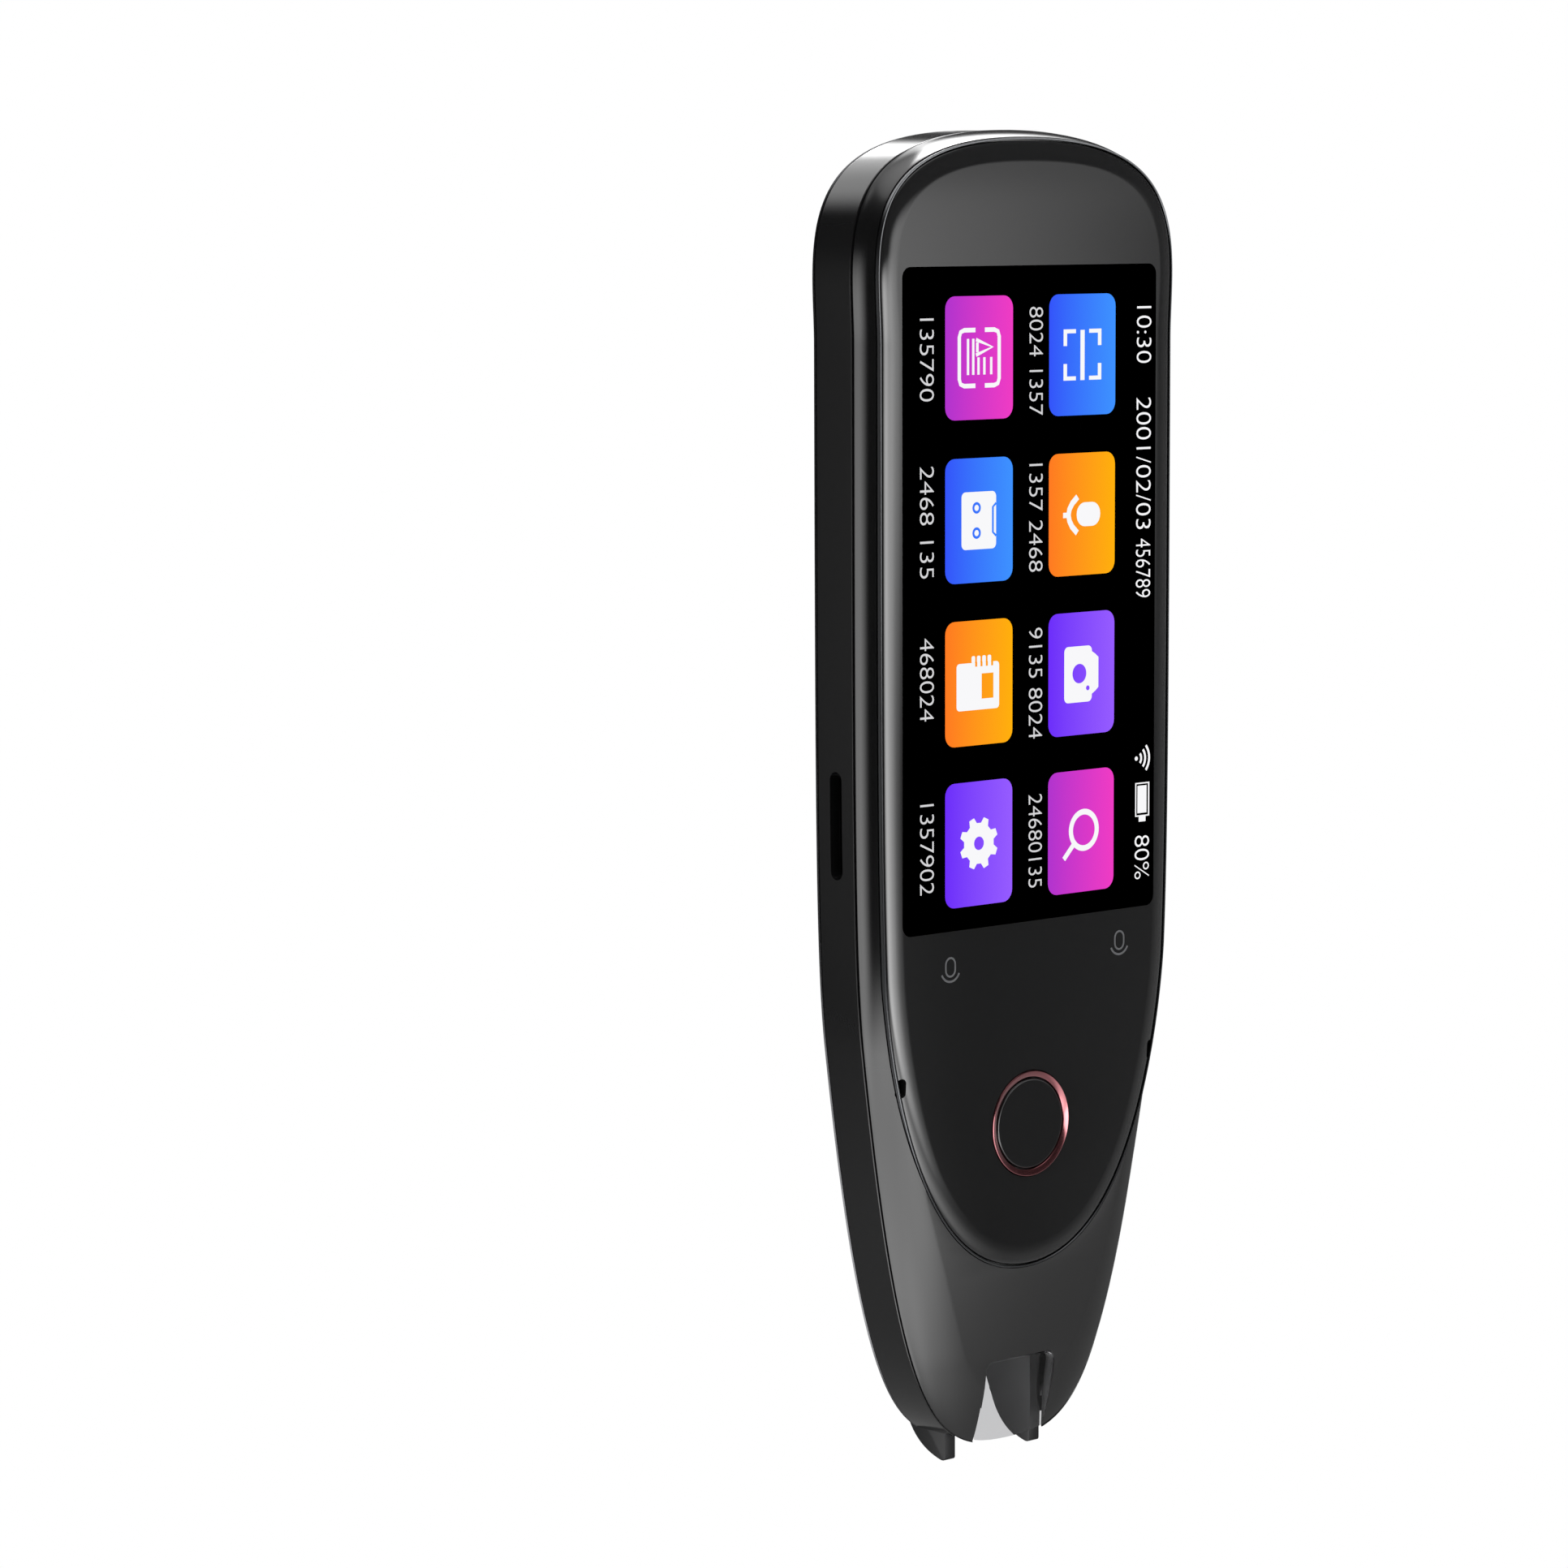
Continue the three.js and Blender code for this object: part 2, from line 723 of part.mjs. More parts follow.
function glassTrim() {
  const inner = -trimGap;
  const outer = -trimGap - trimWidth;
  const front = shellFrontFace - trimProud;
  const back = ledgeFront - trimGap;
  const rings = [[outer, back], [outer, front], [inner, front], [inner, back]];
  const loops = rings.map(([inset, level]) => ring(glassLoop, inset, level));
  add("glass_trim", ringSolid(loops, true), trimBlack);
}

function displayPanel() {
  const lowEdge = displayBottom - displayBorder;
  const displayHalf = halfWidthAt(lowEdge) - glassInset - ledgeWidth - displaySideGap;
  const low = [-displayHalf, displayFront, lowEdge];
  const high = [displayHalf, displayBack, displayTop + displayBorder];
  add("display_panel", block(low, high), panelBlack);
}

// Home ring glued in the glass, the button inside it and the switch behind
function homeKey() {
  const centre = [0, 0, homeHeight];
  const inner = homeRingRadius - homeRingWidth;
  const front = glassFace - homeRingProud;
  const ringProfile = [
    [inner, glassBack], [homeRingRadius, glassBack], [homeRingRadius, glassFace],
    [homeRingRadius - homeRingProud, front], [inner + homeRingProud, front],
    [inner, glassFace], [inner, glassBack],
  ];
  add("home_ring", turned(ringProfile, "y", centre), redMetal);
  const flangeFront = glassBack + homeGap;
  const flangeBack = flangeFront + homeFlangeThickness;
  const edge = inner - homeGap;
  const plungerFront = flangeBack + plungerFaceGap;
  const buttonProfile = [
    [0, glassFace], [edge - homeRingProud, glassFace], [edge, glassFace + homeRingProud],
    [edge, flangeFront], [inner + homeGap, flangeFront], [inner + homeGap, flangeBack],
    [homeStemRadius, flangeBack], [0, flangeBack],
  ];
  add("home_button", turned(buttonProfile, "y", centre), glossBlack);
  const switchBack = chassisFront - fitGap / 2;
  const switchFront = plungerFront + homeTravel + plungerFaceGap;
  const half = homeSwitchSize / 2;
  const body = solid(block(
    [-half, switchFront, homeHeight - half], [half, switchBack, homeHeight + half]));
  const bore = disc(
    homePlungerRadius + boreGap, switchFront - overrun, switchBack - boreGap, "y", centre, smallSides);
  add("home_switch", body.subtract(solid(bore)), darkPlastic);
  const plungerBack = switchBack - boreGap - homeTravel - plungerFaceGap;
  add("home_plunger", disc(
    homePlungerRadius, plungerFront, plungerBack, "y", centre, smallSides), whiteLamp);
}

// Side keys: a rounded bar through the frame, a flange inside it and the switch behind
const keyWallX = halfWidthAt(powerHeight) - frameWall;
const flangeOuterX = keyWallX - keyGap;
const flangeInnerX = flangeOuterX - flangeThickness;
const plungerTopX = flangeInnerX - plungerFaceGap;
const switchFaceX = plungerTopX - keyTravel - plungerFaceGap;
const keyBoardX = switchFaceX - switchThickness - fitGap;
const boardRight = keyBoardX - keyBoardThickness - fitGap;

function key(name, height, length, flangeLength) {
  const faceX = halfWidthAt(height) + keyProud;
  const wide = keyWidth / 2;
  const flangeWide = wide + flangeOverhang;
  const bar = rounded(bandCentre, height, wide, length / 2, wide);
  const cap = rounded(
    bandCentre, height, wide - keyEdge, length / 2 - keyEdge, wide - keyEdge);
  const flange = rounded(bandCentre, height, flangeWide, flangeLength / 2, keyEdge);
  const stem = solid(carried(bar, "x", flangeInnerX, faceX - keyEdge));
  const top = solid(carried(cap, "x", flangeInnerX, faceX));
  const plate = solid(carried(flange, "x", flangeInnerX, flangeOuterX));
  add(name, stem.add(top).add(plate), keyRed);
}

function keySwitch(name, height) {
  const centre = [0, bandCentre, height];
  const half = switchSize / 2;
  const backX = switchFaceX - switchThickness;
  const body = solid(block(
    [backX, bandCentre - half, height - half], [switchFaceX, bandCentre + half, height + half]));
  const plungerBackX = plungerTopX - plungerLength;
  const boreBackX = plungerBackX - keyTravel;
  const bore = disc(plungerRadius + boreGap, boreBackX, halfWidth, "x", centre, smallSides);
  add(name + "_switch", body.subtract(solid(bore)), steel);
  add(name + "_plunger", disc(
    plungerRadius, plungerBackX, plungerTopX, "x", centre, smallSides), whiteLamp);
}

function sideKeys() {
  key("volume_rocker", rockerHeight, rockerLength, rockerFlangeLength);
  key("power_button", powerHeight, powerLength, powerLength + 2 * flangeOverhang);
  keySwitch("volume_up", rockerHeight + rockerSwitchReach);
  keySwitch("volume_down", rockerHeight - rockerSwitchReach);
  keySwitch("power", powerHeight);
  const low = powerHeight - switchSize / 2 - keyBoardMargin;
  const high = rockerHeight + rockerSwitchReach + switchSize / 2 + keyBoardMargin;
  add("key_board", block(
    [keyBoardX - keyBoardThickness, boardFront, low],
    [keyBoardX, boardFront + keyBoardWidth, high]), boardGreen);
}

// Chassis plate behind the display, with its four screws into the front shell
function chassis() {
  const inset = innerInset + chassisSideGap;
  const roundNose = (z) => inset + frontNoseRoll * noseBlend(z) * frontRollPullShare;
  const levels = [chassisFront, chassisBack];
  let plate = solid(ringSolid(levels.map((y) => ring(bodyLoop, roundNose, y))));
  plate = plate.subtract(solid(block(
    [-bodyWidth, glassFace, -overrun], [bodyWidth, backFace, chassisBottom])));
  let count = 0;
  for (const { across, height } of screws) {
    for (const side of [-1, 1]) {
      const centre = [side * across, 0, height];
      const hole = disc(screwRadius + boreGap, glassFace, backFace, "y", centre, smallSides);
      plate = plate.subtract(solid(hole));
      count += 1;
      chassisScrew("chassis_screw_" + count, centre);
    }
  }
  add("chassis", plate, darkPlastic);
}

function chassisScrew(name, centre) {
  const seat = chassisBack + fitGap / 2;
  const tip = chassisFront - fitGap - screwReach + boreGap;
  const profile = [
    [0, tip], [screwRadius, tip], [screwRadius, seat], [screwHeadRadius, seat],
    [screwHeadRadius, seat + screwHeadHeight], [0, seat + screwHeadHeight],
  ];
  add(name, turned(profile, "y", centre, smallSides), steel);
}

// Main board in the shape of an L round the battery, and what sits on it
function mainBoard() {
  const [screw] = screws;
  const boardLeft = boardSideInset - halfWidthAt(boardBottom);
  const boardTongueRight = boardLeft + boardTongueWidth;
  const boardTopHalf = screw.across - boardBesideScrew;
  const boardTop = screw.height + boardPastScrew;
  const boardShoulder = screw.height - boardUnderScrew;
  const shape = new THREE.Shape([
    [-boardTopHalf, boardTop], [boardTopHalf, boardTop], [boardRight, boardShoulder],
    [boardRight, boardStep], [boardTongueRight, boardStep], [boardTongueRight, boardBottom],
    [boardLeft, boardBottom], [boardLeft, boardShoulder],
  ].map((pair) => new THREE.Vector2(...pair)));
  add("main_board", carried(shape, "y", boardFront, boardBack), boardGreen);
  const canBack = partsFront + canHeight;
  const lowerCan = { left: boardLeft + batteryGap, right: boardTongueRight + socketDepth };
  add("shield_can_lower", block(
    [lowerCan.left, partsFront, boardStep], [lowerCan.right, canBack, boardStep + socketDepth]), steel);
  const speakerLow = speakerBottom();
  const besideSpeaker = speakerWidth / 2 + speakerMargin;
  add("shield_can_upper", block(
    [boardLeft + batteryGap, partsFront, speakerLow],
    [-besideSpeaker, canBack, boardShoulder]), steel);
  add("wifi_antenna", block(
    [besideSpeaker, partsFront, speakerLow],
    [boardRight - batteryGap, partsFront + antennaThickness, boardShoulder]), goldFlex);
  add("battery", block(
    [boardTongueRight + batteryGap, boardFront, batteryBottom],
    [boardRight, boardFront + batteryThickness, boardStep - batteryGap]), batterySilver);
}

// Memory card socket behind the slot: a metal sleeve open towards the side
function cardSocket() {
  const mouth = -(halfWidthAt(slotHeight) - frameWall - fitGap);
  const half = socketThickness / 2;
  const low = [mouth, bandCentre - half, slotHeight - socketLength / 2];
  const high = [mouth + socketDepth, bandCentre + half, slotHeight + socketLength / 2];
  const inside = solid(block(
    [low[0] - overrun, low[1] + socketWall, low[2] + socketWall],
    [high[0] - socketWall, high[1] - socketWall, high[2] - socketWall]));
  add("card_socket", solid(block(low, high)).subtract(inside), steel);
}

// Charging port: a rounded metal sleeve with a tongue inside
function chargePort() {
  const sleeve = (shrink, from, to) => {
    const half = portHeight / 2 - shrink;
    const shape = rounded(0, bandCentre, portWidth / 2 - shrink, half, half);
    return solid(carried(shape, "z", from, to));
  };
  const floor = portRoot + portWall;
  const shell = sleeve(0, portRoot, portMouth).subtract(sleeve(portWall, floor, penLength + overrun));
  add("charge_port", shell, steel);
  const half = tongueThickness / 2;
  add("port_tongue", block(
    [-tongueWidth / 2, bandCentre - half, floor + plungerFaceGap],
    [tongueWidth / 2, bandCentre + half, portMouth - tongueRecess]), darkPlastic);
}

// Rear camera: ring, glass, module and lens
function rearCamera() {
  const centre = [0, 0, cameraHeight];
  const inner = cameraRingRadius - cameraRingWidth;
  const front = backFace + cameraProud;
  const seat = coverInside - fitGap;
  const flange = cameraRingRadius + cameraFlangeOverhang;
  const glassRear = front - cameraGlassDrop - cameraGlassThickness;
  const profile = [
    [inner, seat - cameraFlangeThickness], [flange, seat - cameraFlangeThickness],
    [flange, seat], [cameraRingRadius, seat], [cameraRingRadius, backFace],
    [cameraRingRadius - cameraProud / 2, front], [inner + cameraGlassDrop, front],
    [inner, front - cameraGlassDrop], [inner, seat - cameraFlangeThickness],
  ];
  add("camera_ring", turned(profile, "y", centre), redMetal);
  add("camera_glass", disc(
    inner - homeGap, glassRear, front - cameraGlassDrop, "y", centre), glossBlack);
  const barrelBack = glassRear - fitGap;
  const baseBack = THREE.MathUtils.lerp(partsFront, barrelBack, cameraBaseShare);
  const half = cameraBaseSize / 2;
  const base = solid(block(
    [-half, partsFront, cameraHeight - half], [half, baseBack, cameraHeight + half]));
  const barrel = solid(disc(cameraBarrelRadius, partsFront, barrelBack, "y", centre));
  const bowl = solid(disc(
    cameraLensRadius + cameraLensRim, barrelBack - cameraLensRim, backFace, "y", centre));
  add("camera_module", base.add(barrel).subtract(bowl), darkPlastic);
  const lensBase = barrelBack - cameraLensRim + plungerFaceGap;
  const dome = [[0, lensBase], [cameraLensRadius, lensBase]];
  for (let k = 1; k <= rollSteps; k += 1) {
    const angle = (k / rollSteps) * (Math.PI / 2);
    const rise = (cameraLensRim + fitGap / 2) * Math.sin(angle);
    dome.push([cameraLensRadius * Math.cos(angle), lensBase + rise]);
  }
  dome[dome.length - 1][0] = 0;
  add("camera_lens", turned(dome, "y", centre, smallSides), lensBlue);
}

const speakerBottom = () => cameraHeight + cameraRingRadius + cameraFlangeOverhang + fitGap;

// Speaker unit on its sound chamber, under a fine screen behind the holes
function speaker() {
  const half = speakerWidth / 2;
  const low = speakerBottom();
  const high = low + speakerLength;
  const screenBack = coverInside - screenGap;
  const screenFront = screenBack - screenThickness;
  const unitBack = screenFront - screenGap;
  const unitFront = unitBack - speakerUnitDepth;
  add("speaker_chamber", block(
    [-half, partsFront, low], [half, unitFront - fitGap, high]), darkPlastic);
  add("speaker", block([-half, unitFront, low], [half, unitBack, high]), steel);
  add("speaker_screen", block([-half, screenFront, low], [half, screenBack, high]), trimBlack);
}

// Clear window that fills the front arch: the shell's face there and the same face one wall in,
// drawn inwards to a higher middle line, which keeps its lowest edge from folding
function scanWindow() {
  const loop = loopFrom(bodyHalf(), feetDrop + windowHubLift, penLength - halfWidth);
  const cut = arch(
    frontArchHalf - windowGap, frontArchTop - windowGap, frontArchCorner,
    glassFace - overrun, frontRim - windowGap);
  const face = solid(ringSolid(faceRings(...frontFace, loop)));
  add("scan_window", face.intersect(cut).subtract(face.translate([0, shellWall, 0])), clearSmoke);
}

// Side profile of the forked tip: straight in front, slim feet and a curved back edge
function forkProfile() {
  const shape = new THREE.Shape();
  const heel = forkFront + footCorner + footFlat;
  shape.moveTo(forkFront, forkTop);
  shape.lineTo(forkFront, footCorner);
  shape.absarc(forkFront + footCorner, footCorner, footCorner, Math.PI, 1.5 * Math.PI);
  shape.lineTo(heel, 0);
  shape.quadraticCurveTo(forkHeelPullBack, forkHeelPullHeight, forkHeelBack, forkHeelHeight);
  shape.quadraticCurveTo(forkWaistBack, forkWaistHeight, forkTopBack, forkTop);
  shape.closePath();
  return shape;
}

function forkedTip() {
  const channel = arch(forkHalf, forkTop, forkCorner, glassFace, backFace).subtract(
    arch(forkHalf - cheekWall, forkTop - cheekWall, forkCorner - cheekWall / 2, glassFace, backFace));
  let fork = channel.intersect(solid(carried(forkProfile(), "x", -halfWidth, halfWidth)));
  const scanCentre = [0, pinDepth, 0];
  fork = fork.subtract(solid(disc(
    scanApertureRadius, forkTop - cheekWall - overrun / 2, forkTop + overrun, "z", scanCentre)));
  for (const side of [-1, 1]) {
    const centre = [side * pinSpread, pinDepth, 0];
    const root = forkTop - cheekWall / 2;
    const pin = disc(pinRadius, root, guideTop + pinPastGuide, "z", centre, smallSides);
    fork = fork.add(solid(pin));
  }
  add("tip_fork", fork, tipBlack);
}

// Guide plate for the two pins, the coil springs on them and the switch above one pin
function tipGuide() {
  const guideHalf = halfWidthAt(guideUnder) - guideSideInset;
  let plate = solid(block(
    [-guideHalf, guideFront, guideUnder], [guideHalf, guideBack, guideTop]));
  const holes = [
    [-pinSpread, pinRadius + boreGap], [pinSpread, pinRadius + boreGap],
    [0, scanBarrelRadius + boreGap],
  ];
  for (const [x, radius] of holes) {
    const bore = disc(radius, guideUnder - overrun, guideTop + overrun, "z", [x, pinDepth, 0], smallSides);
    plate = plate.subtract(solid(bore));
  }
  add("tip_guide", plate, darkPlastic);
}

// Coil spring as one tube along a helix
function tipSpring(name, side) {
  const low = forkTop + springWire + springEndGap;
  const high = guideUnder - springWire - springEndGap;
  const steps = springTurns * springSteps;
  const helix = Array.from({ length: steps + 1 }, (_, k) => {
    const angle = (k / steps) * springTurns * 2 * Math.PI;
    const height = THREE.MathUtils.lerp(low, high, k / steps);
    return new THREE.Vector3(
      side * pinSpread + springRadius * Math.cos(angle),
      pinDepth + springRadius * Math.sin(angle), height);
  });
  const path = new THREE.CatmullRomCurve3(helix);
  const wire = new THREE.Shape(Array.from({ length: wireSides }, (_, k) => {
    const angle = (k / wireSides) * 2 * Math.PI;
    return new THREE.Vector2(springWire * Math.cos(angle), springWire * Math.sin(angle));
  }));
  const settings = { steps, extrudePath: path, bevelEnabled: false };
  add(name, new THREE.ExtrudeGeometry(wire, settings), steel);
}

function tipSwitch() {
  const centre = [pinSpread, pinDepth, 0];
  const plungerLow = guideTop + pinPastGuide + plungerFaceGap;
  const switchLow = plungerLow + tipTravel + boreGap;
  const switchHigh = switchLow + tipSwitchHeight;
  const plungerHigh = switchLow + plungerLength;
  const body = solid(block(
    [pinSpread - tipSwitchHalf, boardFront, switchLow],
    [pinSpread + tipSwitchHalf, tipSwitchBack, switchHigh]));
  const bore = disc(
    tipPlungerRadius + boreGap, 0, plungerHigh + tipTravel + boreGap / 2, "z", centre, smallSides);
  add("tip_switch", body.subtract(solid(bore)), darkPlastic);
  add("tip_plunger", disc(
    tipPlungerRadius, plungerLow, plungerHigh, "z", centre, smallSides), whiteLamp);
}

// Scanning camera, hung in the guide plate over the opening in the fork's roof
function scanCamera() {
  const centre = [0, pinDepth, 0];
  const low = guideUnder - scanBarrelDrop;
  const seat = guideTop + fitGap;
  const high = seat + scanFlangeHeight;
  const recess = scanLensRadius + boreGap;
  const profile = [
    [0, low + scanLensRecess], [recess, low + scanLensRecess], [recess, low],
    [scanBarrelRadius, low], [scanBarrelRadius, seat], [scanFlangeRadius, seat],
    [scanFlangeRadius, high], [0, high],
  ];
  add("scan_camera", turned(profile, "z", centre, smallSides), darkPlastic);
  const lensHigh = low + scanLensRecess - boreGap / 2;
  add("scan_lens", disc(
    scanLensRadius, lensHigh - scanLensThickness, lensHigh, "z", centre, smallSides), lensBlue);
  const half = sensorBoardSize / 2;
  const boardLow = high + fitGap;
  add("scan_sensor_board", block(
    [-half, pinDepth - half, boardLow],
    [half, pinDepth + half, boardLow + sensorBoardThickness]), boardGreen);
}

// Lights for the page, on a small board behind the wall over the window
function scanLights() {
  const top = lightBoardBottom + lightBoardHeight;
  const wall = frontLevel(lightBoardBottom) + shellWall + fitGap;
  const back = wall + lightBoardThickness;
  add("scan_light_board", block(
    [-lightBoardHalf, wall, lightBoardBottom], [lightBoardHalf, back, top]), boardGreen);
  for (const [name, side] of [["left", -1], ["right", 1]]) {
    const middle = side * ledSpread;
    const ledFront = back + boreGap / 2;
    add("scan_led_" + name, block(
      [middle - ledSize / 2, ledFront, lightBoardBottom],
      [middle + ledSize / 2, ledFront + ledThickness, lightBoardBottom + ledSize]), whiteLamp);
  }
}

// Microphones on the chassis, one behind each notch in the seam
function microphones() {
  for (const [name, side] of [["left", -1], ["right", 1]]) {
    const middle = side * (halfWidthAt(notchHeight) - microphoneInset);
    const half = microphoneSize / 2;
    const back = chassisFront - fitGap;
    add("microphone_" + name, block(
      [middle - half, back - microphoneThickness, notchHeight - half],
      [middle + half, back, notchHeight + half]), steel);
  }
}

backCover();
sideFrame();
frontShell();
glassTrim();
coverGlass();
displayPanel();
homeKey();
sideKeys();
chassis();
mainBoard();
cardSocket();
chargePort();
rearCamera();
speaker();
scanWindow();
forkedTip();
tipGuide();
tipSpring("tip_spring_left", -1);
tipSpring("tip_spring_right", 1);
tipSwitch();
scanCamera();
scanLights();
microphones();

export default pen;
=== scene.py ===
# %% [markdown]
# # A translation scanner pen
#
# Such a pen is drawn over a line of print and shows the translation on its display. The packed
# CAD model is the fixed frame: its bodies, joints and inner pieces stay, and every piece that is
# seen from outside gets a finer twin here. The twins repeat the curves of the part's source, so
# each lies exactly where its solid is.
#
# Lengths are millimetres until a mesh is made. X runs across the pen, Y from the display (minus)
# to the back cover (plus), and Z from the scanning tip up to the top end.

import json
import math

import bpy
import numpy as np
from mathutils import Matrix, Vector

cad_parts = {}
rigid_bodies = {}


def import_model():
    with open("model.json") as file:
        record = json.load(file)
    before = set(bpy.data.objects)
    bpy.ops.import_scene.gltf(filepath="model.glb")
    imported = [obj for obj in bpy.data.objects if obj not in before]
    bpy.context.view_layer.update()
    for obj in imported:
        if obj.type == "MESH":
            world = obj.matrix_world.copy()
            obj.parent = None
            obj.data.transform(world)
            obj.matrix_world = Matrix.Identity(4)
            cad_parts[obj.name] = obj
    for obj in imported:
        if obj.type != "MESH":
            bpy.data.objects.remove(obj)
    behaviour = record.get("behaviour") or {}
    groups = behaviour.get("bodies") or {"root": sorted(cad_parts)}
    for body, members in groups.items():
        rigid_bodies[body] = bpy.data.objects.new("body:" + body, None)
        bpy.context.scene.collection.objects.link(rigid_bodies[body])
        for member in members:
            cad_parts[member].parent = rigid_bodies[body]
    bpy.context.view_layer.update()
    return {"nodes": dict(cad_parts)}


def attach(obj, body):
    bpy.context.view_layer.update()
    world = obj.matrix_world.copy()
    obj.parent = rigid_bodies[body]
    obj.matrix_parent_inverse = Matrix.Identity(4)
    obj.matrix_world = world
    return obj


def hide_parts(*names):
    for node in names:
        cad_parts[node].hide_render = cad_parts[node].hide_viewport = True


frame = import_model()
MM = 0.001
PEN = "pen_body"
print("CAD nodes:", len(frame["nodes"]))

# %% [markdown]
# ## Camera
#
# The photograph was taken with a long lens, from the left and a little above. The camera's place
# was worked out from the outline, the display, the ring and the tip in it. A constraint could
# aim it at the pen, but three angles are kept, because they also hold the picture's small roll.

# %% Place the camera
CAMERA_AT = (-398.9, -409.7, 141.9)
CAMERA_YAW, CAMERA_PITCH, CAMERA_ROLL, CAMERA_LENS = -41.945, 6.5, -0.202, 116.84


def make_camera():
    """Yaw and pitch give the direction to its back, and roll turns its sides about that."""
    data = bpy.data.cameras.new("view")
    data.lens = CAMERA_LENS
    camera = bpy.data.objects.new("view", data)
    yaw, pitch, roll = (math.radians(v) for v in (CAMERA_YAW, CAMERA_PITCH, CAMERA_ROLL))
    back = Vector((
        math.sin(yaw) * math.cos(pitch), -math.cos(yaw) * math.cos(pitch), math.sin(pitch)))
    level = Vector((math.cos(yaw), math.sin(yaw), 0))
    rise = back.cross(level)
    right = math.cos(roll) * level + math.sin(roll) * rise
    up = math.cos(roll) * rise - math.sin(roll) * level
    turn = Matrix((right, up, back)).transposed().to_4x4()
    camera.matrix_world = Matrix.Translation(Vector(CAMERA_AT) * MM) @ turn
    bpy.context.scene.collection.objects.link(camera)
    bpy.context.scene.camera = camera
    print("camera distance, mm:", round(Vector(CAMERA_AT).length))


make_camera()

# %% [markdown]
# ## From points to a piece
#
# Each piece is worked out as an array of points and a list of faces, and one function makes it
# an object that rides on a body of the frame. It is shaded smooth, with sharp edges where faces
# meet at more than 32 degrees, so that rolled sides look round and flats stay flat.

# %% Make a piece
SHARP_ANGLE = math.radians(32)


def smooth(made):
    """Smooth shading, but sharp where faces meet at more than the sharp angle."""
    made.data.polygons.foreach_set("use_smooth", [True] * len(made.data.polygons))
    made.data.set_sharp_from_angle(angle=SHARP_ANGLE)


def mesh_object(name, points, faces, looks, marks=None, body=PEN, slot=None, stands_for=()):
    """A piece from points in millimetres; marks gives the number of each face's material."""
    mesh = bpy.data.meshes.new(name)
    mesh.from_pydata((np.asarray(points, float) * MM).tolist(), [], faces)
    for look in looks:
        mesh.materials.append(look)
    if marks is not None:
        mesh.polygons.foreach_set("material_index", marks)
    mesh.validate()
    made = bpy.data.objects.new(name, mesh)
    bpy.context.scene.collection.objects.link(made)
    smooth(made)
    if body:
        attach(made, body)
    if stands_for:
        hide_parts(*stands_for)
    return made

# %% Points and size of a mesh
def mesh_points(mesh):
    """All points of a mesh as rows of X, Y and Z, in metres."""
    flat = np.empty(len(mesh.vertices) * 3)
    mesh.vertices.foreach_get("co", flat)
    return flat.reshape(-1, 3)


def tell(made):
    """Print what was made: name, faces and size."""
    size = np.ptp(mesh_points(made.data), axis=0) / MM
    print(f"{made.name}: {len(made.data.polygons)} faces, {size.round(2).tolist()} mm")
    return made


# %% Closed forms and cutters
def turned_out(points, faces):
    """Six times the volume is the sum of a . (b x c) over the triangles of all faces. Where it
    is negative, the faces look inwards and are flipped."""
    fans = [(face[0], face[i], face[i + 1]) for face in faces for i in range(1, len(face) - 1)]
    a, b, c = np.moveaxis(np.asarray(points, float)[np.array(fans)], 1, 0)
    return faces if np.sum(a * np.cross(b, c)) > 0 else [face[::-1] for face in faces]


def solid(name, points, faces, look, **more):
    """A closed piece in one finish, with its faces turned out."""
    return mesh_object(name, points, turned_out(points, faces), [look], **more)


def tool(points, faces):
    """A closed form that only cuts or joins: it rides on nothing."""
    return mesh_object("tool", points, faces, [], body=None)


def carve(made, keep=(), cut=(), join=()):
    """Booleans with closed tools, baked in the mesh: first what is kept, then cuts, then joins."""
    steps = [("INTERSECT", each) for each in keep] + [("DIFFERENCE", each) for each in cut]
    steps += [("UNION", each) for each in join]
    for operation, cutter in steps:
        step = made.modifiers.new("step", "BOOLEAN")
        step.operation, step.solver, step.object = operation, "EXACT", cutter
    graph = bpy.context.evaluated_depsgraph_get()
    baked = bpy.data.meshes.new_from_object(made.evaluated_get(graph))
    made.modifiers.clear()
    made.data = baked
    for _, cutter in steps:
        bpy.data.objects.remove(cutter)
    smooth(made)
    return made


# %% [markdown]
# ## Flat outlines, prisms and turned forms
#
# Slots, keys and buttons are rounded bars and circles given a depth, and rings are a profile
# turned about an axis. Blender's own primitives could do, but numpy arrays give every point from
# the pen's sizes at once, and all these forms then share one pattern of faces.

# %% Outlines
QUARTERS = np.array([(1, 1), (-1, 1), (-1, -1), (1, -1)]).T[:, :, None]
PLANES = {"x": [1, 2], "y": [0, 2], "z": [0, 1]}


def stadium(across, up, half_across, half_up, corner, steps=10):
    """Four quarter circles: corner centre + corner radius * (cos a, sin a), counterclockwise."""
    turn = (np.arange(4)[:, None] + np.arange(steps + 1) / steps) * math.pi / 2
    side, rise = QUARTERS
    x = across + side * (half_across - corner) + corner * np.cos(turn)
    z = up + rise * (half_up - corner) + corner * np.sin(turn)
    return np.column_stack([x.ravel(), z.ravel()])


def arc(at, radius, start, end, steps=18):
    """Points at + radius * (cos a, sin a), with a from start to end in degrees."""
    turn = np.radians(np.linspace(start, end, steps))
    return np.column_stack([at[0] + radius * np.cos(turn), at[1] + radius * np.sin(turn)])


def circle(at, radius, sides):
    """A full arc without its last point, which would lie on the first."""
    return arc(at, radius, 0, 360, sides + 1)[:-1]


def along(points, axis, level):
    """Flat points set in space at one level: YZ for x, XZ for y and XY for z."""
    placed = np.full((len(points), 3), float(level))
    placed[:, PLANES[axis]] = points
    return placed


print("points of a rounded bar:", len(stadium(0, 0, 2, 1, 1)))


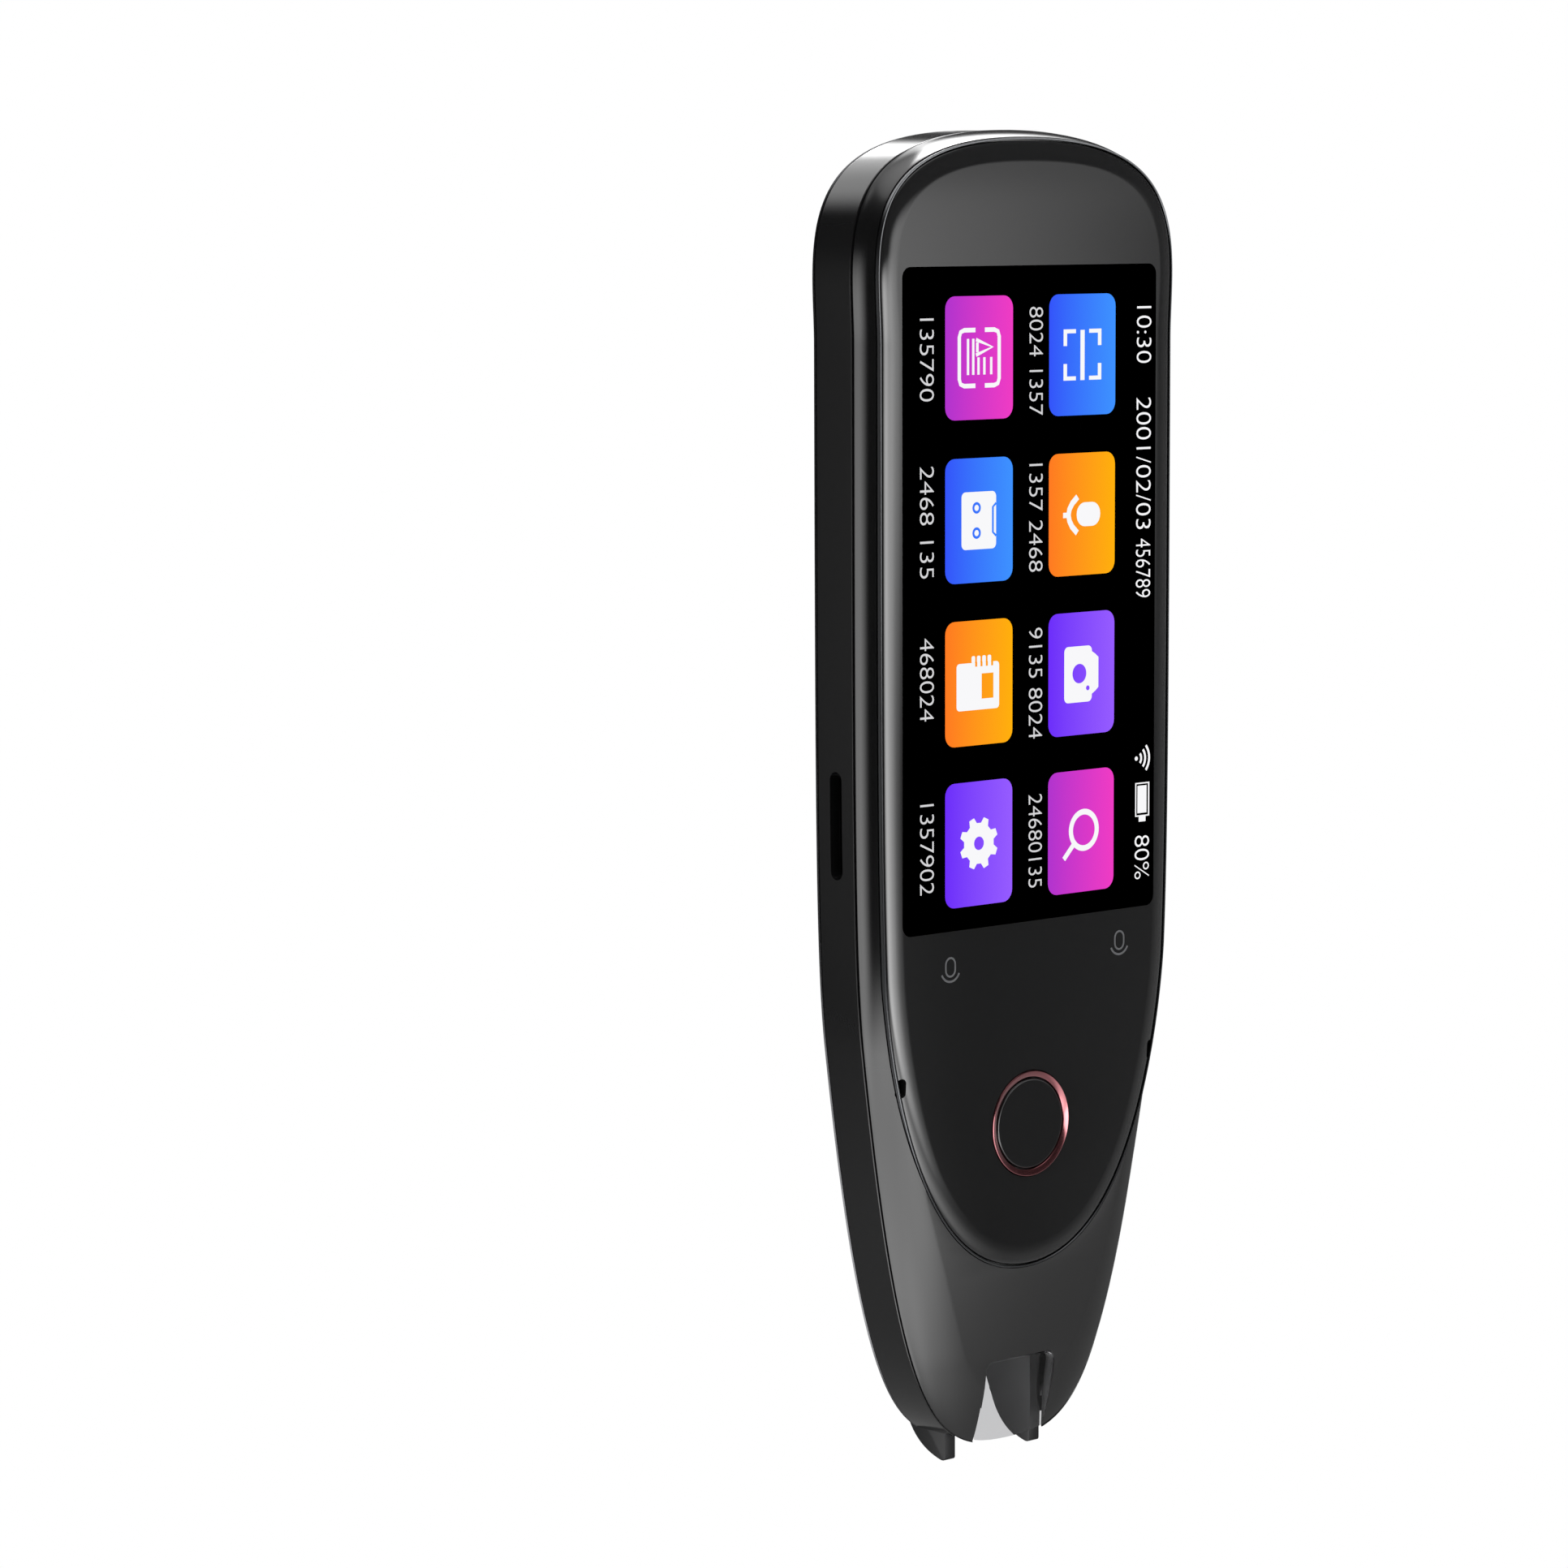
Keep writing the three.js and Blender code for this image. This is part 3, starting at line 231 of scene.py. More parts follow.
# %% Walls, prisms and turned forms
def walls(rows, count, looped=False):
    """Quads between neighbouring rows of count points, each row closed in itself."""
    row = np.arange(rows if looped else rows - 1)[:, None]
    near, far = row * count, (row + 1) % rows * count
    this, after = np.arange(count), (np.arange(count) + 1) % count
    corners = np.broadcast_arrays(near + this, near + after, far + after, far + this)
    return np.stack(corners, axis=-1).reshape(-1, 4).tolist()


def prism(points, axis, low, high):
    """An outline at two levels, with walls and two ends; along Y its faces turn the other way."""
    count = len(points)
    faces = [list(range(count))[::-1], list(range(count, 2 * count)), *walls(2, count)]
    if axis == "y":
        faces = [face[::-1] for face in faces]
    return np.vstack([along(points, axis, low), along(points, axis, high)]), faces


def lathe(profile, centre_z, sides):
    """Radius and level pairs turned about Y: (radius cos a, level, centre + radius sin a)."""
    radius, level = np.array(profile, float).T
    turn = 2 * math.pi * np.arange(sides)[:, None] / sides
    x, z = radius * np.cos(turn), centre_z + radius * np.sin(turn)
    points = np.stack([x, np.broadcast_to(level, x.shape), z], axis=-1)
    return points.reshape(-1, 3), walls(sides, len(profile), looped=True)


def disc_tool(radius, low, high, at, sides):
    """A round cutter along Y, about a centre in X and Z."""
    return tool(*prism(circle(at, radius, sides), "y", low, high))


print("faces of a rounded bar:", len(prism(stadium(0, 0, 2, 1, 1), "y", 0, 1)[1]))


# %% [markdown]
# ## Outline of the body
#
# From the front, the pen is a long arch that narrows below a soft knee to a rounded nose. It
# could be traced point by point, but three cubic curves fitted to the photograph are smoother
# and can be changed by a few sizes. From each point a ray runs inwards to a hub line, and all
# rolled edges are drawn in along these rays.

# %% Half of the body outline
LENGTH, WIDTH, THICK = 150.0, 47.0, 14.4
HALF = WIDTH / 2
FEET_DROP = 1.7
SHOULDER_DROP, TOP_PULL, SHOULDER_PULL = 23.35, 1.171, 0.436
SIDE_PULL, KNEE_Z, KNEE_INSET, KNEE_LEAN = 50.0, 48.8, 1.3, 0.13
KNEE_UP, KNEE_DOWN, TIP_PULL, NOSE_HUB = 10.1, 44.0, 10.8, 11.0


def bezier(corners, steps):
    """Cubic curve: the four corners weighted (1-t)^3, 3t(1-t)^2, 3t^2(1-t) and t^3."""
    t = np.linspace(0, 1, steps + 1)[:, None]
    p = np.array(corners, float)
    return ((1 - t) ** 3 * p[0] + 3 * t * (1 - t) ** 2 * p[1] + 3 * t * t * (1 - t) * p[2]
            + t**3 * p[3])


def body_half(top=44, side=30, nose=46):
    """From the top end down the right side to the nose: arch, straight side, nose."""
    shoulder = LENGTH - SHOULDER_DROP
    lean = np.array([KNEE_LEAN, 1.0]) / math.hypot(KNEE_LEAN, 1.0)
    knee = np.array([HALF - KNEE_INSET, KNEE_Z])
    parts = [
        bezier([(0, LENGTH), (TOP_PULL * HALF, LENGTH),
                (HALF, shoulder + SHOULDER_PULL * SHOULDER_DROP), (HALF, shoulder)], top),
        bezier([(HALF, shoulder), (HALF, shoulder - SIDE_PULL), knee + lean * KNEE_UP, knee], side),
        bezier([knee, knee - lean * KNEE_DOWN, (TIP_PULL, FEET_DROP), (0, FEET_DROP)], nose)]
    return np.vstack([parts[0], parts[1][1:], parts[2][1:]])


def loop_from(half, hub_low, hub_high):
    """An outline with its rays: unit steps to the nearest point of the middle line's hub part."""
    hub = np.clip(half[:, 1], hub_low, hub_high)
    ray = np.column_stack([-half[:, 0], hub - half[:, 1]])
    return half, ray / np.linalg.norm(ray, axis=1)[:, None]


BODY_LOOP = loop_from(body_half(), FEET_DROP + NOSE_HUB, LENGTH - HALF)
print("body outline:", len(BODY_LOOP[0]), "points a side")

# %% Half of the glass outline
GLASS_INSET, GLASS_WAIST, GLASS_BOTTOM, GLASS_HUB = 1.2, 57.0, 22.65, 12.0
GLASS_PULL, GLASS_TIP_PULL, GLASS_STEPS = 2.6, 19.1, 40


def glass_half():
    """The body's outline drawn in down to the waist, and one cubic curve round the bottom."""
    half, ray = BODY_LOOP
    inset = half + ray * GLASS_INSET
    upper = inset[inset[:, 1] > GLASS_WAIST]
    down = upper[-1] - upper[-2]
    pull = upper[-1] + down / np.linalg.norm(down) * GLASS_PULL
    corners = [upper[-1], pull, (GLASS_TIP_PULL, GLASS_BOTTOM), (0, GLASS_BOTTOM)]
    return np.vstack([upper, bezier(corners, GLASS_STEPS)[1:]])


GLASS_LOOP = loop_from(glass_half(), GLASS_BOTTOM + GLASS_HUB, LENGTH - HALF)


def width_at(height, loop=BODY_LOOP):
    """Half the width at a height, read between the nearest points of the outline."""
    half, _ = loop
    return float(np.interp(-height, -half[:, 1], half[:, 0]))


print("half width of body and glass at the waist:", width_at(GLASS_WAIST),
      width_at(GLASS_WAIST, GLASS_LOOP))

# %% [markdown]
# ## Rings drawn inwards
#
# A moulded shell is a stack of rings: each is the outline drawn in along its rays and set at a
# level, and walls join neighbours. A loft between two shapes would do the same in a CAD program.
# The open ends are closed by rungs from side to side, which keeps a curved face curved. A ring
# that dips between its last rays would fold a rung, so each end gets one larger face.

# %% Rings and the solid between them
END_POINTS, END_RISE = 5, 0.03


def ring(loop, inset, level):
    """Point + ray * inset at the level, mirrored in X; both may be functions of the height."""
    half, ray = loop
    reach = inset(half[:, 1]) if callable(inset) else np.full(len(half), float(inset))
    moved = half + ray * reach[:, None]
    y = level(moved[:, 1]) if callable(level) else np.full(len(half), float(level))
    right = np.column_stack([moved[:, 0], y, moved[:, 1]])
    return np.vstack([right, right[1:-1][::-1] * (-1, 1, 1)])


def rungs(points, start):
    """Faces from side to side, with one larger face over each end."""
    count, half = len(points), len(points) // 2
    z = points[:half + 1, 2]
    top = max(END_POINTS, int(np.max(np.nonzero(z > z[0] - END_RISE))) + 1)
    low = max(END_POINTS, half - int(np.min(np.nonzero(z < z[-1] + END_RISE))) + 1)
    i = np.arange(top, half - low)
    between = np.column_stack([i, i + 1, count - i - 1, count - i])
    over = np.r_[:top + 1, count - top:count]
    under = np.arange(half - low, half + low + 1)
    return [(face + start).tolist() for face in (over, *between, under)]


def ring_solid(rings, looped=False):
    """Walls between neighbouring rings, and rungs over the open ends unless it is looped."""
    count = len(rings[0])
    faces = walls(len(rings), count, looped)
    if not looped:
        faces += [face[::-1] for face in rungs(rings[0], 0)]
        faces += rungs(rings[-1], (len(rings) - 1) * count)
    return np.vstack(rings), faces


print("points of one ring of the body:", len(ring(BODY_LOOP, 0, 0)))


# %% [markdown]
# ## Levels and rolls of the two shells
#
# A flat-sided band lies between the back cover and the front shell, with a seam of 0.2 mm on
# each side. Both shells roll over towards their faces and drop back at the nose. The roll of the
# back keeps nearly one width, and that of the front is narrow along the sides and wide at the
# nose. A bevel has one width, so the rolls are a quadratic curve whose width follows the height.

# %% Levels and how they change along the pen
GLASS_FACE, BACK_FACE = -THICK / 2, THICK / 2
BAND_WIDTH, BAND_MID, SEAM = 5.8, -0.35, 0.2
BAND_FRONT, BAND_BACK = BAND_MID - BAND_WIDTH / 2, BAND_MID + BAND_WIDTH / 2
FRONT_RIM, BACK_RIM = BAND_FRONT - SEAM, BAND_BACK + SEAM
FRONT_DROP, FRONT_NOSE_DROP, BACK_NOSE_DROP = 0.5, 2.5, 4.2
SHELL_FACE = GLASS_FACE + FRONT_DROP
BLEND_LOW, BLEND_HIGH, NOSE_ZONE = 10.0, 60.0, 26.0
print("levels of glass, shell, band and back:", GLASS_FACE, SHELL_FACE, BAND_FRONT, BAND_BACK,
      BACK_FACE)


def eased(start, pull, end, share):
    """Quadratic curve: (1-s)^2 start + 2s(1-s) pull + s^2 end."""
    return (1 - share) ** 2 * start + 2 * share * (1 - share) * pull + share**2 * end


def nose_blend(z):
    """One at the nose and nothing above it, with a smooth step 1 - t^2 (3 - 2t) between."""
    t = np.clip((z - BLEND_LOW) / (BLEND_HIGH - BLEND_LOW), 0, 1)
    return 1 - t * t * (3 - 2 * t)


def nose_share(z):
    """Square of the distance into the nose zone, as a share of it."""
    return np.clip(1 - (z - FEET_DROP) / NOSE_ZONE, 0, None) ** 2


def back_level(z):
    """Level of the back: its face minus the nose drop times the nose share."""
    return BACK_FACE - BACK_NOSE_DROP * nose_share(z)


def front_level(z):
    """Level of the front shell: its face plus the nose drop times the nose share."""
    return SHELL_FACE + FRONT_NOSE_DROP * nose_share(z)


# %% Rings of a moulded shell
SHELL_WALL, LIP_INSET, LIP_DEPTH, LIP_WALL, RIM_BREAK = 1.3, 1.7, 0.8, 0.8, 0.14
INNER_INSET = LIP_INSET + LIP_WALL
FLAT_MARGIN = 0.5


def shell_rings(rim, face_level, roll_at, pull, depth_pull, outward, steps):
    """From the middle of the face out to the rim, round the snap lip and back inside. Across,
    a ring is drawn in by roll * eased(0, pull, 1), and its depth runs from rim to face."""
    def rolled(share, start, width, face):
        """One ring of the roll, a share of the way from the rim to the face."""
        return ring(
            BODY_LOOP, lambda z: start + (roll_at(z) - width) * eased(0, pull, 1, share),
            lambda z: rim + (face_level(z) - face - rim) * eased(0, depth_pull, 1, share))

    rings = []
    if depth_pull == 1:
        rings.append(ring(BODY_LOOP, lambda z: roll_at(z) + FLAT_MARGIN, face_level))
    rings += [rolled(k / steps, 0, 0, 0) for k in range(steps, 0, -1)]
    rings += [ring(BODY_LOOP, inset, rim + outward * rise) for inset, rise in (
        (0, RIM_BREAK), (RIM_BREAK, 0), (LIP_INSET, 0), (LIP_INSET, -LIP_DEPTH),
        (INNER_INSET, -LIP_DEPTH))]
    rings += [rolled(k / steps, INNER_INSET, SHELL_WALL / 2, outward * SHELL_WALL)
              for k in range(0, steps + 1, 2)]
    return ring_solid(rings)


# %% [markdown]
# ## How a finish is built
#
# Paint, metal and glass are all the Principled shader, with levels set against the photograph.
# What changes over a piece could be painted in a picture, but nodes that read its place need no
# file. The helpers keep that short: one makes a node and feeds its inputs, and another makes a
# smooth step between two levels.

# %% Helpers for materials
def srgb(*levels):
    """Linear colour from the 0 to 255 levels that a picture shows."""
    share = np.array(levels) / 255
    linear = np.where(share <= 0.04045, share / 12.92, ((share + 0.055) / 1.055) ** 2.4)
    return (*linear.tolist(), 1.0)


def material(name, colour, rough, metal=0.0, **more):
    """Principled shader; further inputs go by their names, with _ for a space."""
    made = bpy.data.materials.new(name)
    made.use_nodes = True
    shader = made.node_tree.nodes["Principled BSDF"]
    feeds = {"Base_Color": colour, "Roughness": rough, "Metallic": metal, **more}
    for key, value in feeds.items():
        shader.inputs[key.replace("_", " ")].default_value = value
    return made

# %% Helpers for nodes
def add_node(tree, kind, feeds=(), **settings):
    """A shader node; an input is fed with a value or linked to another node's output."""
    made = tree.nodes.new("ShaderNode" + kind)
    for key, value in settings.items():
        setattr(made, key, value)
    for key, value in dict(feeds).items():
        if isinstance(value, bpy.types.NodeSocket):
            tree.links.new(value, made.inputs[key])
        else:
            made.inputs[key].default_value = value
    return made


def step_between(tree, value, start, end, low, high, kind="SMOOTHSTEP"):
    """Low at start, high at end, and a smooth step (or a straight ramp) between them."""
    feeds = {"Value": value, "From Min": start, "From Max": end, "To Min": low, "To Max": high}
    return add_node(tree, "MapRange", feeds, interpolation_type=kind).outputs["Result"]


def place_on(tree, kind, axis):
    """One part of the object-space point or normal where the surface is shaded."""
    place = add_node(tree, "TexCoord")
    return add_node(tree, "SeparateXYZ", {"Vector": place.outputs[kind]}).outputs[axis]


def feed_shader(made, key, source):
    """Link a node to an input of the finish and return the finish."""
    tree = made.node_tree
    tree.links.new(source, tree.nodes["Principled BSDF"].inputs[key])
    return made


# %% Fine grain
GRAIN_DEPTH, GRAIN_DETAIL = 0.00002, 3


def grain(made, scale, strength):
    """Moulded and painted faces are not mirrors: a bump whose height is noise of the place."""
    tree = made.node_tree
    place = add_node(tree, "TexCoord").outputs["Object"]
    noise = add_node(tree, "TexNoise", {"Vector": place, "Scale": scale, "Detail": GRAIN_DETAIL})
    feeds = {"Height": noise.outputs["Fac"], "Strength": strength, "Distance": GRAIN_DEPTH}
    return feed_shader(made, "Normal", add_node(tree, "Bump", feeds).outputs["Normal"])


# %% [markdown]
# ## Back cover
#
# The back is one moulded shell in grey metallic paint, with an opening for the camera, three
# arcs of speaker holes and an arch at the nose for the tip. The holes could be a bump, but real
# cuts show their depth and the speaker's screen, so each is a closed tool in a Boolean.

# %% Arches at the nose
OVER = 6.0
FRONT_ARCH = (5.5, 11.8, 1.3)
BACK_ARCH = (8.1, 16.4, 2.4)


def arch_tool(half, top, corner, low, high):
    """A rounded opening along Y, from below the pen up to the given top."""
    points = stadium(0, (top - OVER) / 2, half, (top + OVER) / 2, corner)
    return tool(*prism(points, "y", low, high))


def bay_tool():
    """The arch of the scan bay, from the rim of the front shell to behind the pen."""
    return arch_tool(*BACK_ARCH, FRONT_RIM, BACK_FACE + OVER)


# %% Back cover with its holes
BACK_ROLL, BACK_TIP_ROLL, BACK_PULL, BACK_STEPS = 9.5, 8.6, 0.45, 22
CAMERA_Z, CAMERA_R, CAMERA_GAP, ROUND_SIDES = 118.0, 5.3, 0.2, 96
SPEAKER_ARCS, SPEAKER_R, SPEAKER_HOLES, HOLE_SIDES = (12.8, 11.2, 9.65), 0.42, 7, 20
SPEAKER_STEP = math.pi / 17.8
BACK_PAINT = grain(material("back paint", srgb(104, 104, 106), 0.24, 0.85), 2600, 0.06)


def back_roll(z):
    """Width of the roll: from the upper body's to the nose's, by the nose blend."""
    return BACK_ROLL + (BACK_TIP_ROLL - BACK_ROLL) * nose_blend(z)


def back_cover():
    """The speaker holes lie on arcs about the camera, a fixed angle apart."""
    shape = shell_rings(BACK_RIM, back_level, back_roll, BACK_PULL, 1, 1, BACK_STEPS)
    cover = solid(
        "back_shell", *shape, BACK_PAINT, slot="case_gunmetal", stands_for=["back_cover"])
    far = BACK_FACE + OVER
    cuts = [bay_tool(), disc_tool(CAMERA_R + CAMERA_GAP, 0, far, (0, CAMERA_Z), ROUND_SIDES)]
    for radius in SPEAKER_ARCS:
        for a in (np.arange(SPEAKER_HOLES) - (SPEAKER_HOLES - 1) / 2) * SPEAKER_STEP:
            at = (radius * math.sin(a), CAMERA_Z + radius * math.cos(a))
            cuts.append(disc_tool(SPEAKER_R, 0, far, at, HOLE_SIDES))
    return carve(cover, cut=cuts)


tell(back_cover())

# %% [markdown]
# ## Front shell
#
# The shoulder round the glass and the nose below it are one moulding in dark gunmetal paint. It
# is glossy above and duller on the nose, as in the photograph, so its roughness follows the
# height. The glass sits on a ledge, and a small notch on each side lets sound in.

# %% Gunmetal paint
NOSE_ROUGH, DULL_LOW, DULL_HIGH = 0.32, 38, 64
GUNMETAL = grain(
    material("gunmetal paint", srgb(32, 32, 33), 0.16, Specular_IOR_Level=1.0), 2600, 0.03)


def duller_below(made, rough, z_low, z_high):
    """Roughness falls from the given level below z_low to the material's own above z_high."""
    tree = made.node_tree
    usual = tree.nodes["Principled BSDF"].inputs["Roughness"].default_value
    height = place_on(tree, "Object", "Z")
    source = step_between(tree, height, z_low * MM, z_high * MM, rough, usual)
    return feed_shader(made, "Roughness", source)


duller_below(GUNMETAL, NOSE_ROUGH, DULL_LOW, DULL_HIGH)
print("nodes of the gunmetal paint:", len(GUNMETAL.node_tree.nodes))

# %% Rings and cutters of the front shell
FRONT_ROLL, FRONT_NOSE_ROLL, FRONT_PULL, FRONT_DEPTH_PULL, FRONT_STEPS = 0.5, 5.6, 0.2, 0.8, 20
GLASS_THICK, LEDGE_DROP, LEDGE_WIDTH = 1.1, 0.3, 0.9
GLASS_BACK = GLASS_FACE + GLASS_THICK
LEDGE_FRONT = GLASS_BACK + LEDGE_DROP
TRIM_WIDTH, TRIM_GAP, TRIM_PROUD = 0.25, 0.1, 0.1
NOTCH_Z, NOTCH_LENGTH, NOTCH_WIDTH = 45.0, 2.2, 0.7


def front_roll(z):
    """Width of the roll, from the shoulder's to the nose's, plus half a wall."""
    return FRONT_ROLL + (FRONT_NOSE_ROLL - FRONT_ROLL) * nose_blend(z) + SHELL_WALL / 2


def front_shape():
    """The rings of the front shell, which the scan window shares."""
    return shell_rings(
        FRONT_RIM, front_level, front_roll, FRONT_PULL, FRONT_DEPTH_PULL, -1, FRONT_STEPS)


def glass_cutter(inset, back):
    """The glass outline drawn in, from before the pen back to the given level."""
    rings = [ring(GLASS_LOOP, inset, level) for level in (GLASS_FACE - OVER, back)]
    points, faces = ring_solid(rings)
    return tool(points, turned_out(points, faces))


def notch_tool(side):
    """A short upright slot that takes NOTCH_WIDTH from the edge of the glass."""
    edge = width_at(NOTCH_Z, GLASS_LOOP)
    half = (NOTCH_WIDTH + TRIM_WIDTH + TRIM_GAP) / 2
    points = stadium(side * (edge - NOTCH_WIDTH + half), NOTCH_Z, half, NOTCH_LENGTH / 2, half)
    return tool(*prism(points, "y", GLASS_FACE - OVER, FRONT_RIM))

# %% Front shell
def front_shell():
    """The rings, cut by the glass opening, its wider ledge, the arches and the notches."""
    shell = solid(
        "shoulder", *front_shape(), GUNMETAL, slot="case_gunmetal", stands_for=["front_shell"])
    return carve(shell, cut=[
        glass_cutter(LEDGE_WIDTH, FRONT_RIM), glass_cutter(-TRIM_WIDTH - 2 * TRIM_GAP, LEDGE_FRONT),
        bay_tool(), arch_tool(*FRONT_ARCH, GLASS_FACE - OVER, BACK_FACE), notch_tool(-1),
        notch_tool(1)])


tell(front_shell())

# %% [markdown]
# ## Scan window
#
# A clear piece closes the arch of the front shell, so that one sees the line that is read. A flat
# plate could do that, but its faces have to run on from the shell's, so it is made of the same
# rings and kept only inside the arch. A low index of refraction bends the view little.

# %% Scan window
WINDOW_GAP = 0.15
WINDOW = material("clear smoke", (0.57, 0.57, 0.58, 1), 0.02, Transmission_Weight=1.0, IOR=1.06,
                  Coat_Weight=0.6)


def scan_window():
    """The rings of the front shell, kept only inside its arch less a small gap."""
    half, top, corner = FRONT_ARCH
    clear = solid("window", *front_shape(), WINDOW, slot="window_clear", stands_for=["scan_window"])
    return carve(clear, keep=[arch_tool(
        half - WINDOW_GAP, top - WINDOW_GAP, corner, GLASS_FACE - OVER, FRONT_RIM - WINDOW_GAP)])


tell(scan_window())

# %% [markdown]
# ## Side frame
#
# The band all round has a flat side with finely broken edges, and holds the keys, the card slot
# and the charging port. A Bevel modifier would round its edges too, but rings close to each edge
# also hold the shading of the flat, so the seam stays crisp.

# %% Side frame with its openings
FRAME_WALL, BAND_BREAK, BREAK_MIDDLE, BAND_HOLD = 1.5, 0.12, 0.3, 1.3
KEY_WIDTH, KEY_GAP = 2.4, 0.3
ROCKER, POWER = (117.2, 20.0), (95.1, 9.8)
SLOT_Z, SLOT_LENGTH, SLOT_WIDTH = 73.9, 12.0, 1.9
PORT_WIDTH, PORT_HEIGHT, PORT_ROOT, PORT_GAP = 8.9, 3.2, 142.3, 0.25
FRAME_PAINT = grain(
    material("frame paint", srgb(42, 42, 43), 0.14, Specular_IOR_Level=0.6), 3200, 0.05)


def side_frame():
    """Insets and levels round the section: wall, broken edge, flat, broken edge, wall."""
    edge, middle, hold = BAND_BREAK, BAND_BREAK * BREAK_MIDDLE, BAND_BREAK * BAND_HOLD
    half = [(FRAME_WALL, 0), (edge, 0), (middle, middle), (0, edge), (0, hold)]
    stack = [(inset, BAND_FRONT + rise) for inset, rise in half]
    stack += [(inset, BAND_BACK - rise) for inset, rise in half[::-1]]
    shape = ring_solid([ring(BODY_LOOP, inset, level) for inset, level in stack], looped=True)
    band = solid("frame_band", *shape, FRAME_PAINT, slot="frame_grey", stands_for=["side_frame"])
    wide, mouth = KEY_WIDTH / 2 + KEY_GAP, PORT_HEIGHT / 2 + PORT_GAP
    key_mouths = [stadium(BAND_MID, height, wide, length / 2 + KEY_GAP, wide)
                  for height, length in (ROCKER, POWER)]
    slot = stadium(BAND_MID, SLOT_Z, SLOT_WIDTH / 2, SLOT_LENGTH / 2, SLOT_WIDTH / 2)
    port = stadium(0, BAND_MID, PORT_WIDTH / 2 + PORT_GAP, mouth, mouth)
    return carve(band, cut=[
        bay_tool(), *(tool(*prism(points, "x", 0, HALF + OVER)) for points in key_mouths),
        tool(*prism(slot, "x", -HALF - OVER, 0)),
        tool(*prism(port, "z", PORT_ROOT, LENGTH + OVER))])


tell(side_frame())

# %% [markdown]
# ## Cover glass and its trim
#
# The front is black glass with a rolled edge, set in a thin dark trim. The photograph's flat
# glass is nearly black while its rolled edge shines, as coated glass does, so the reflection is
# turned down where the surface faces straight forward.

# %% Black glass
CALM_LEVEL, CALM_FROM = 0.25, 0.985


def calm_black(name):
    """Black glass whose specular level steps from full to CALM_LEVEL as -normal Y nears one."""
    made = material(name, srgb(60, 60, 61), 0.05, Specular_IOR_Level=1.0)
    tree = made.node_tree
    feeds = {0: place_on(tree, "Normal", "Y"), 1: -1.0}
    forward = add_node(tree, "Math", feeds, operation="MULTIPLY").outputs["Value"]
    source = step_between(tree, forward, CALM_FROM, 1.0, 1.0, CALM_LEVEL)
    return feed_shader(made, "Specular IOR Level", source)


BLACK_GLASS = calm_black("black glass")
BUTTON_BLACK = calm_black("button black")
print("nodes of the black glass:", len(BLACK_GLASS.node_tree.nodes))

# %% Cover glass
GLASS_ROLL, GLASS_ROLL_PULL, GLASS_EDGE_DROP, GLASS_ROLL_STEPS = 2.4, 0.7, 0.65, 14
HOME_Z, HOME_R = 38.8, 6.0


def cover_glass():
    """The edge is drawn in by roll * s^2 and lifted by drop * eased(0, pull, 1), s from 1 to 0."""
    rings = [ring(GLASS_LOOP, GLASS_ROLL * eased(0, 0, 1, share),
                  GLASS_FACE + GLASS_EDGE_DROP * (1 - eased(0, GLASS_ROLL_PULL, 1, share)))
             for share in np.arange(GLASS_ROLL_STEPS, -1, -1) / GLASS_ROLL_STEPS]
    shape = ring_solid([*rings, ring(GLASS_LOOP, 0, GLASS_BACK)])
    glass = solid("glass", *shape, BLACK_GLASS, slot="gloss_black", stands_for=["cover_glass"])
    home = disc_tool(HOME_R + TRIM_GAP, GLASS_FACE - OVER, BACK_FACE, (0, HOME_Z), ROUND_SIDES)
    return carve(glass, cut=[home, notch_tool(-1), notch_tool(1)])


tell(cover_glass())

# %% Trim round the glass
TRIM = material("dark trim", srgb(98, 99, 101), 0.2, 0.9)
TRIM_BREAK = 0.06


def glass_trim():
    """A small section, broken at both front edges, carried round the glass."""
    inner, outer = -TRIM_GAP, -TRIM_GAP - TRIM_WIDTH
    front, back = SHELL_FACE - TRIM_PROUD, LEDGE_FRONT - TRIM_GAP
    stack = [(outer, back), (outer, front + TRIM_BREAK), (outer + TRIM_BREAK, front),
             (inner - TRIM_BREAK, front), (inner, front + TRIM_BREAK), (inner, back)]
    shape = ring_solid([ring(GLASS_LOOP, inset, level) for inset, level in stack], looped=True)
    return solid("trim", *shape, TRIM, slot="trim_dark", stands_for=["glass_trim"])


tell(glass_trim())

# %% [markdown]
# ## Home ring and button
#
# A rose-coloured metal ring frames a black button. A cylinder with a bevel could stand for each,
# but both are turned here as on a lathe: a closed profile of radius and level pairs is carried
# round the axis. The front of the ring slopes inwards, so its far side catches the light.

# %% Home ring
HOME_RING, HOME_PROUD, RING_BREAK, RING_SIDES = 0.7, 0.15, 0.08, 160
ROSE = material(
    "rose metal", srgb(188, 112, 118), 0.16, 0.85, Coat_Weight=1.0, Coat_Roughness=0.1)


def home_ring():
    """Radius and level pairs: broken at the outer front edge, sloping in from there."""
    inner, front, soft = HOME_R - HOME_RING, GLASS_FACE - HOME_PROUD, RING_BREAK
    middle = soft * BREAK_MIDDLE
    profile = [
        (inner, GLASS_BACK), (HOME_R, GLASS_BACK), (HOME_R, front + soft),
        (HOME_R - middle, front + middle), (HOME_R - soft, front), (inner + soft, GLASS_FACE),
        (inner, GLASS_FACE + soft)]
    shape = lathe(profile, HOME_Z, RING_SIDES)
    return solid("home_hoop", *shape, ROSE, slot="red_metal", stands_for=["home_ring"])


tell(home_ring())

# %% Home button
HOME_GAP, HOME_FLANGE, AXIS_R, HOME_ROUND_STEPS = 0.2, 0.4, 0.001, 5


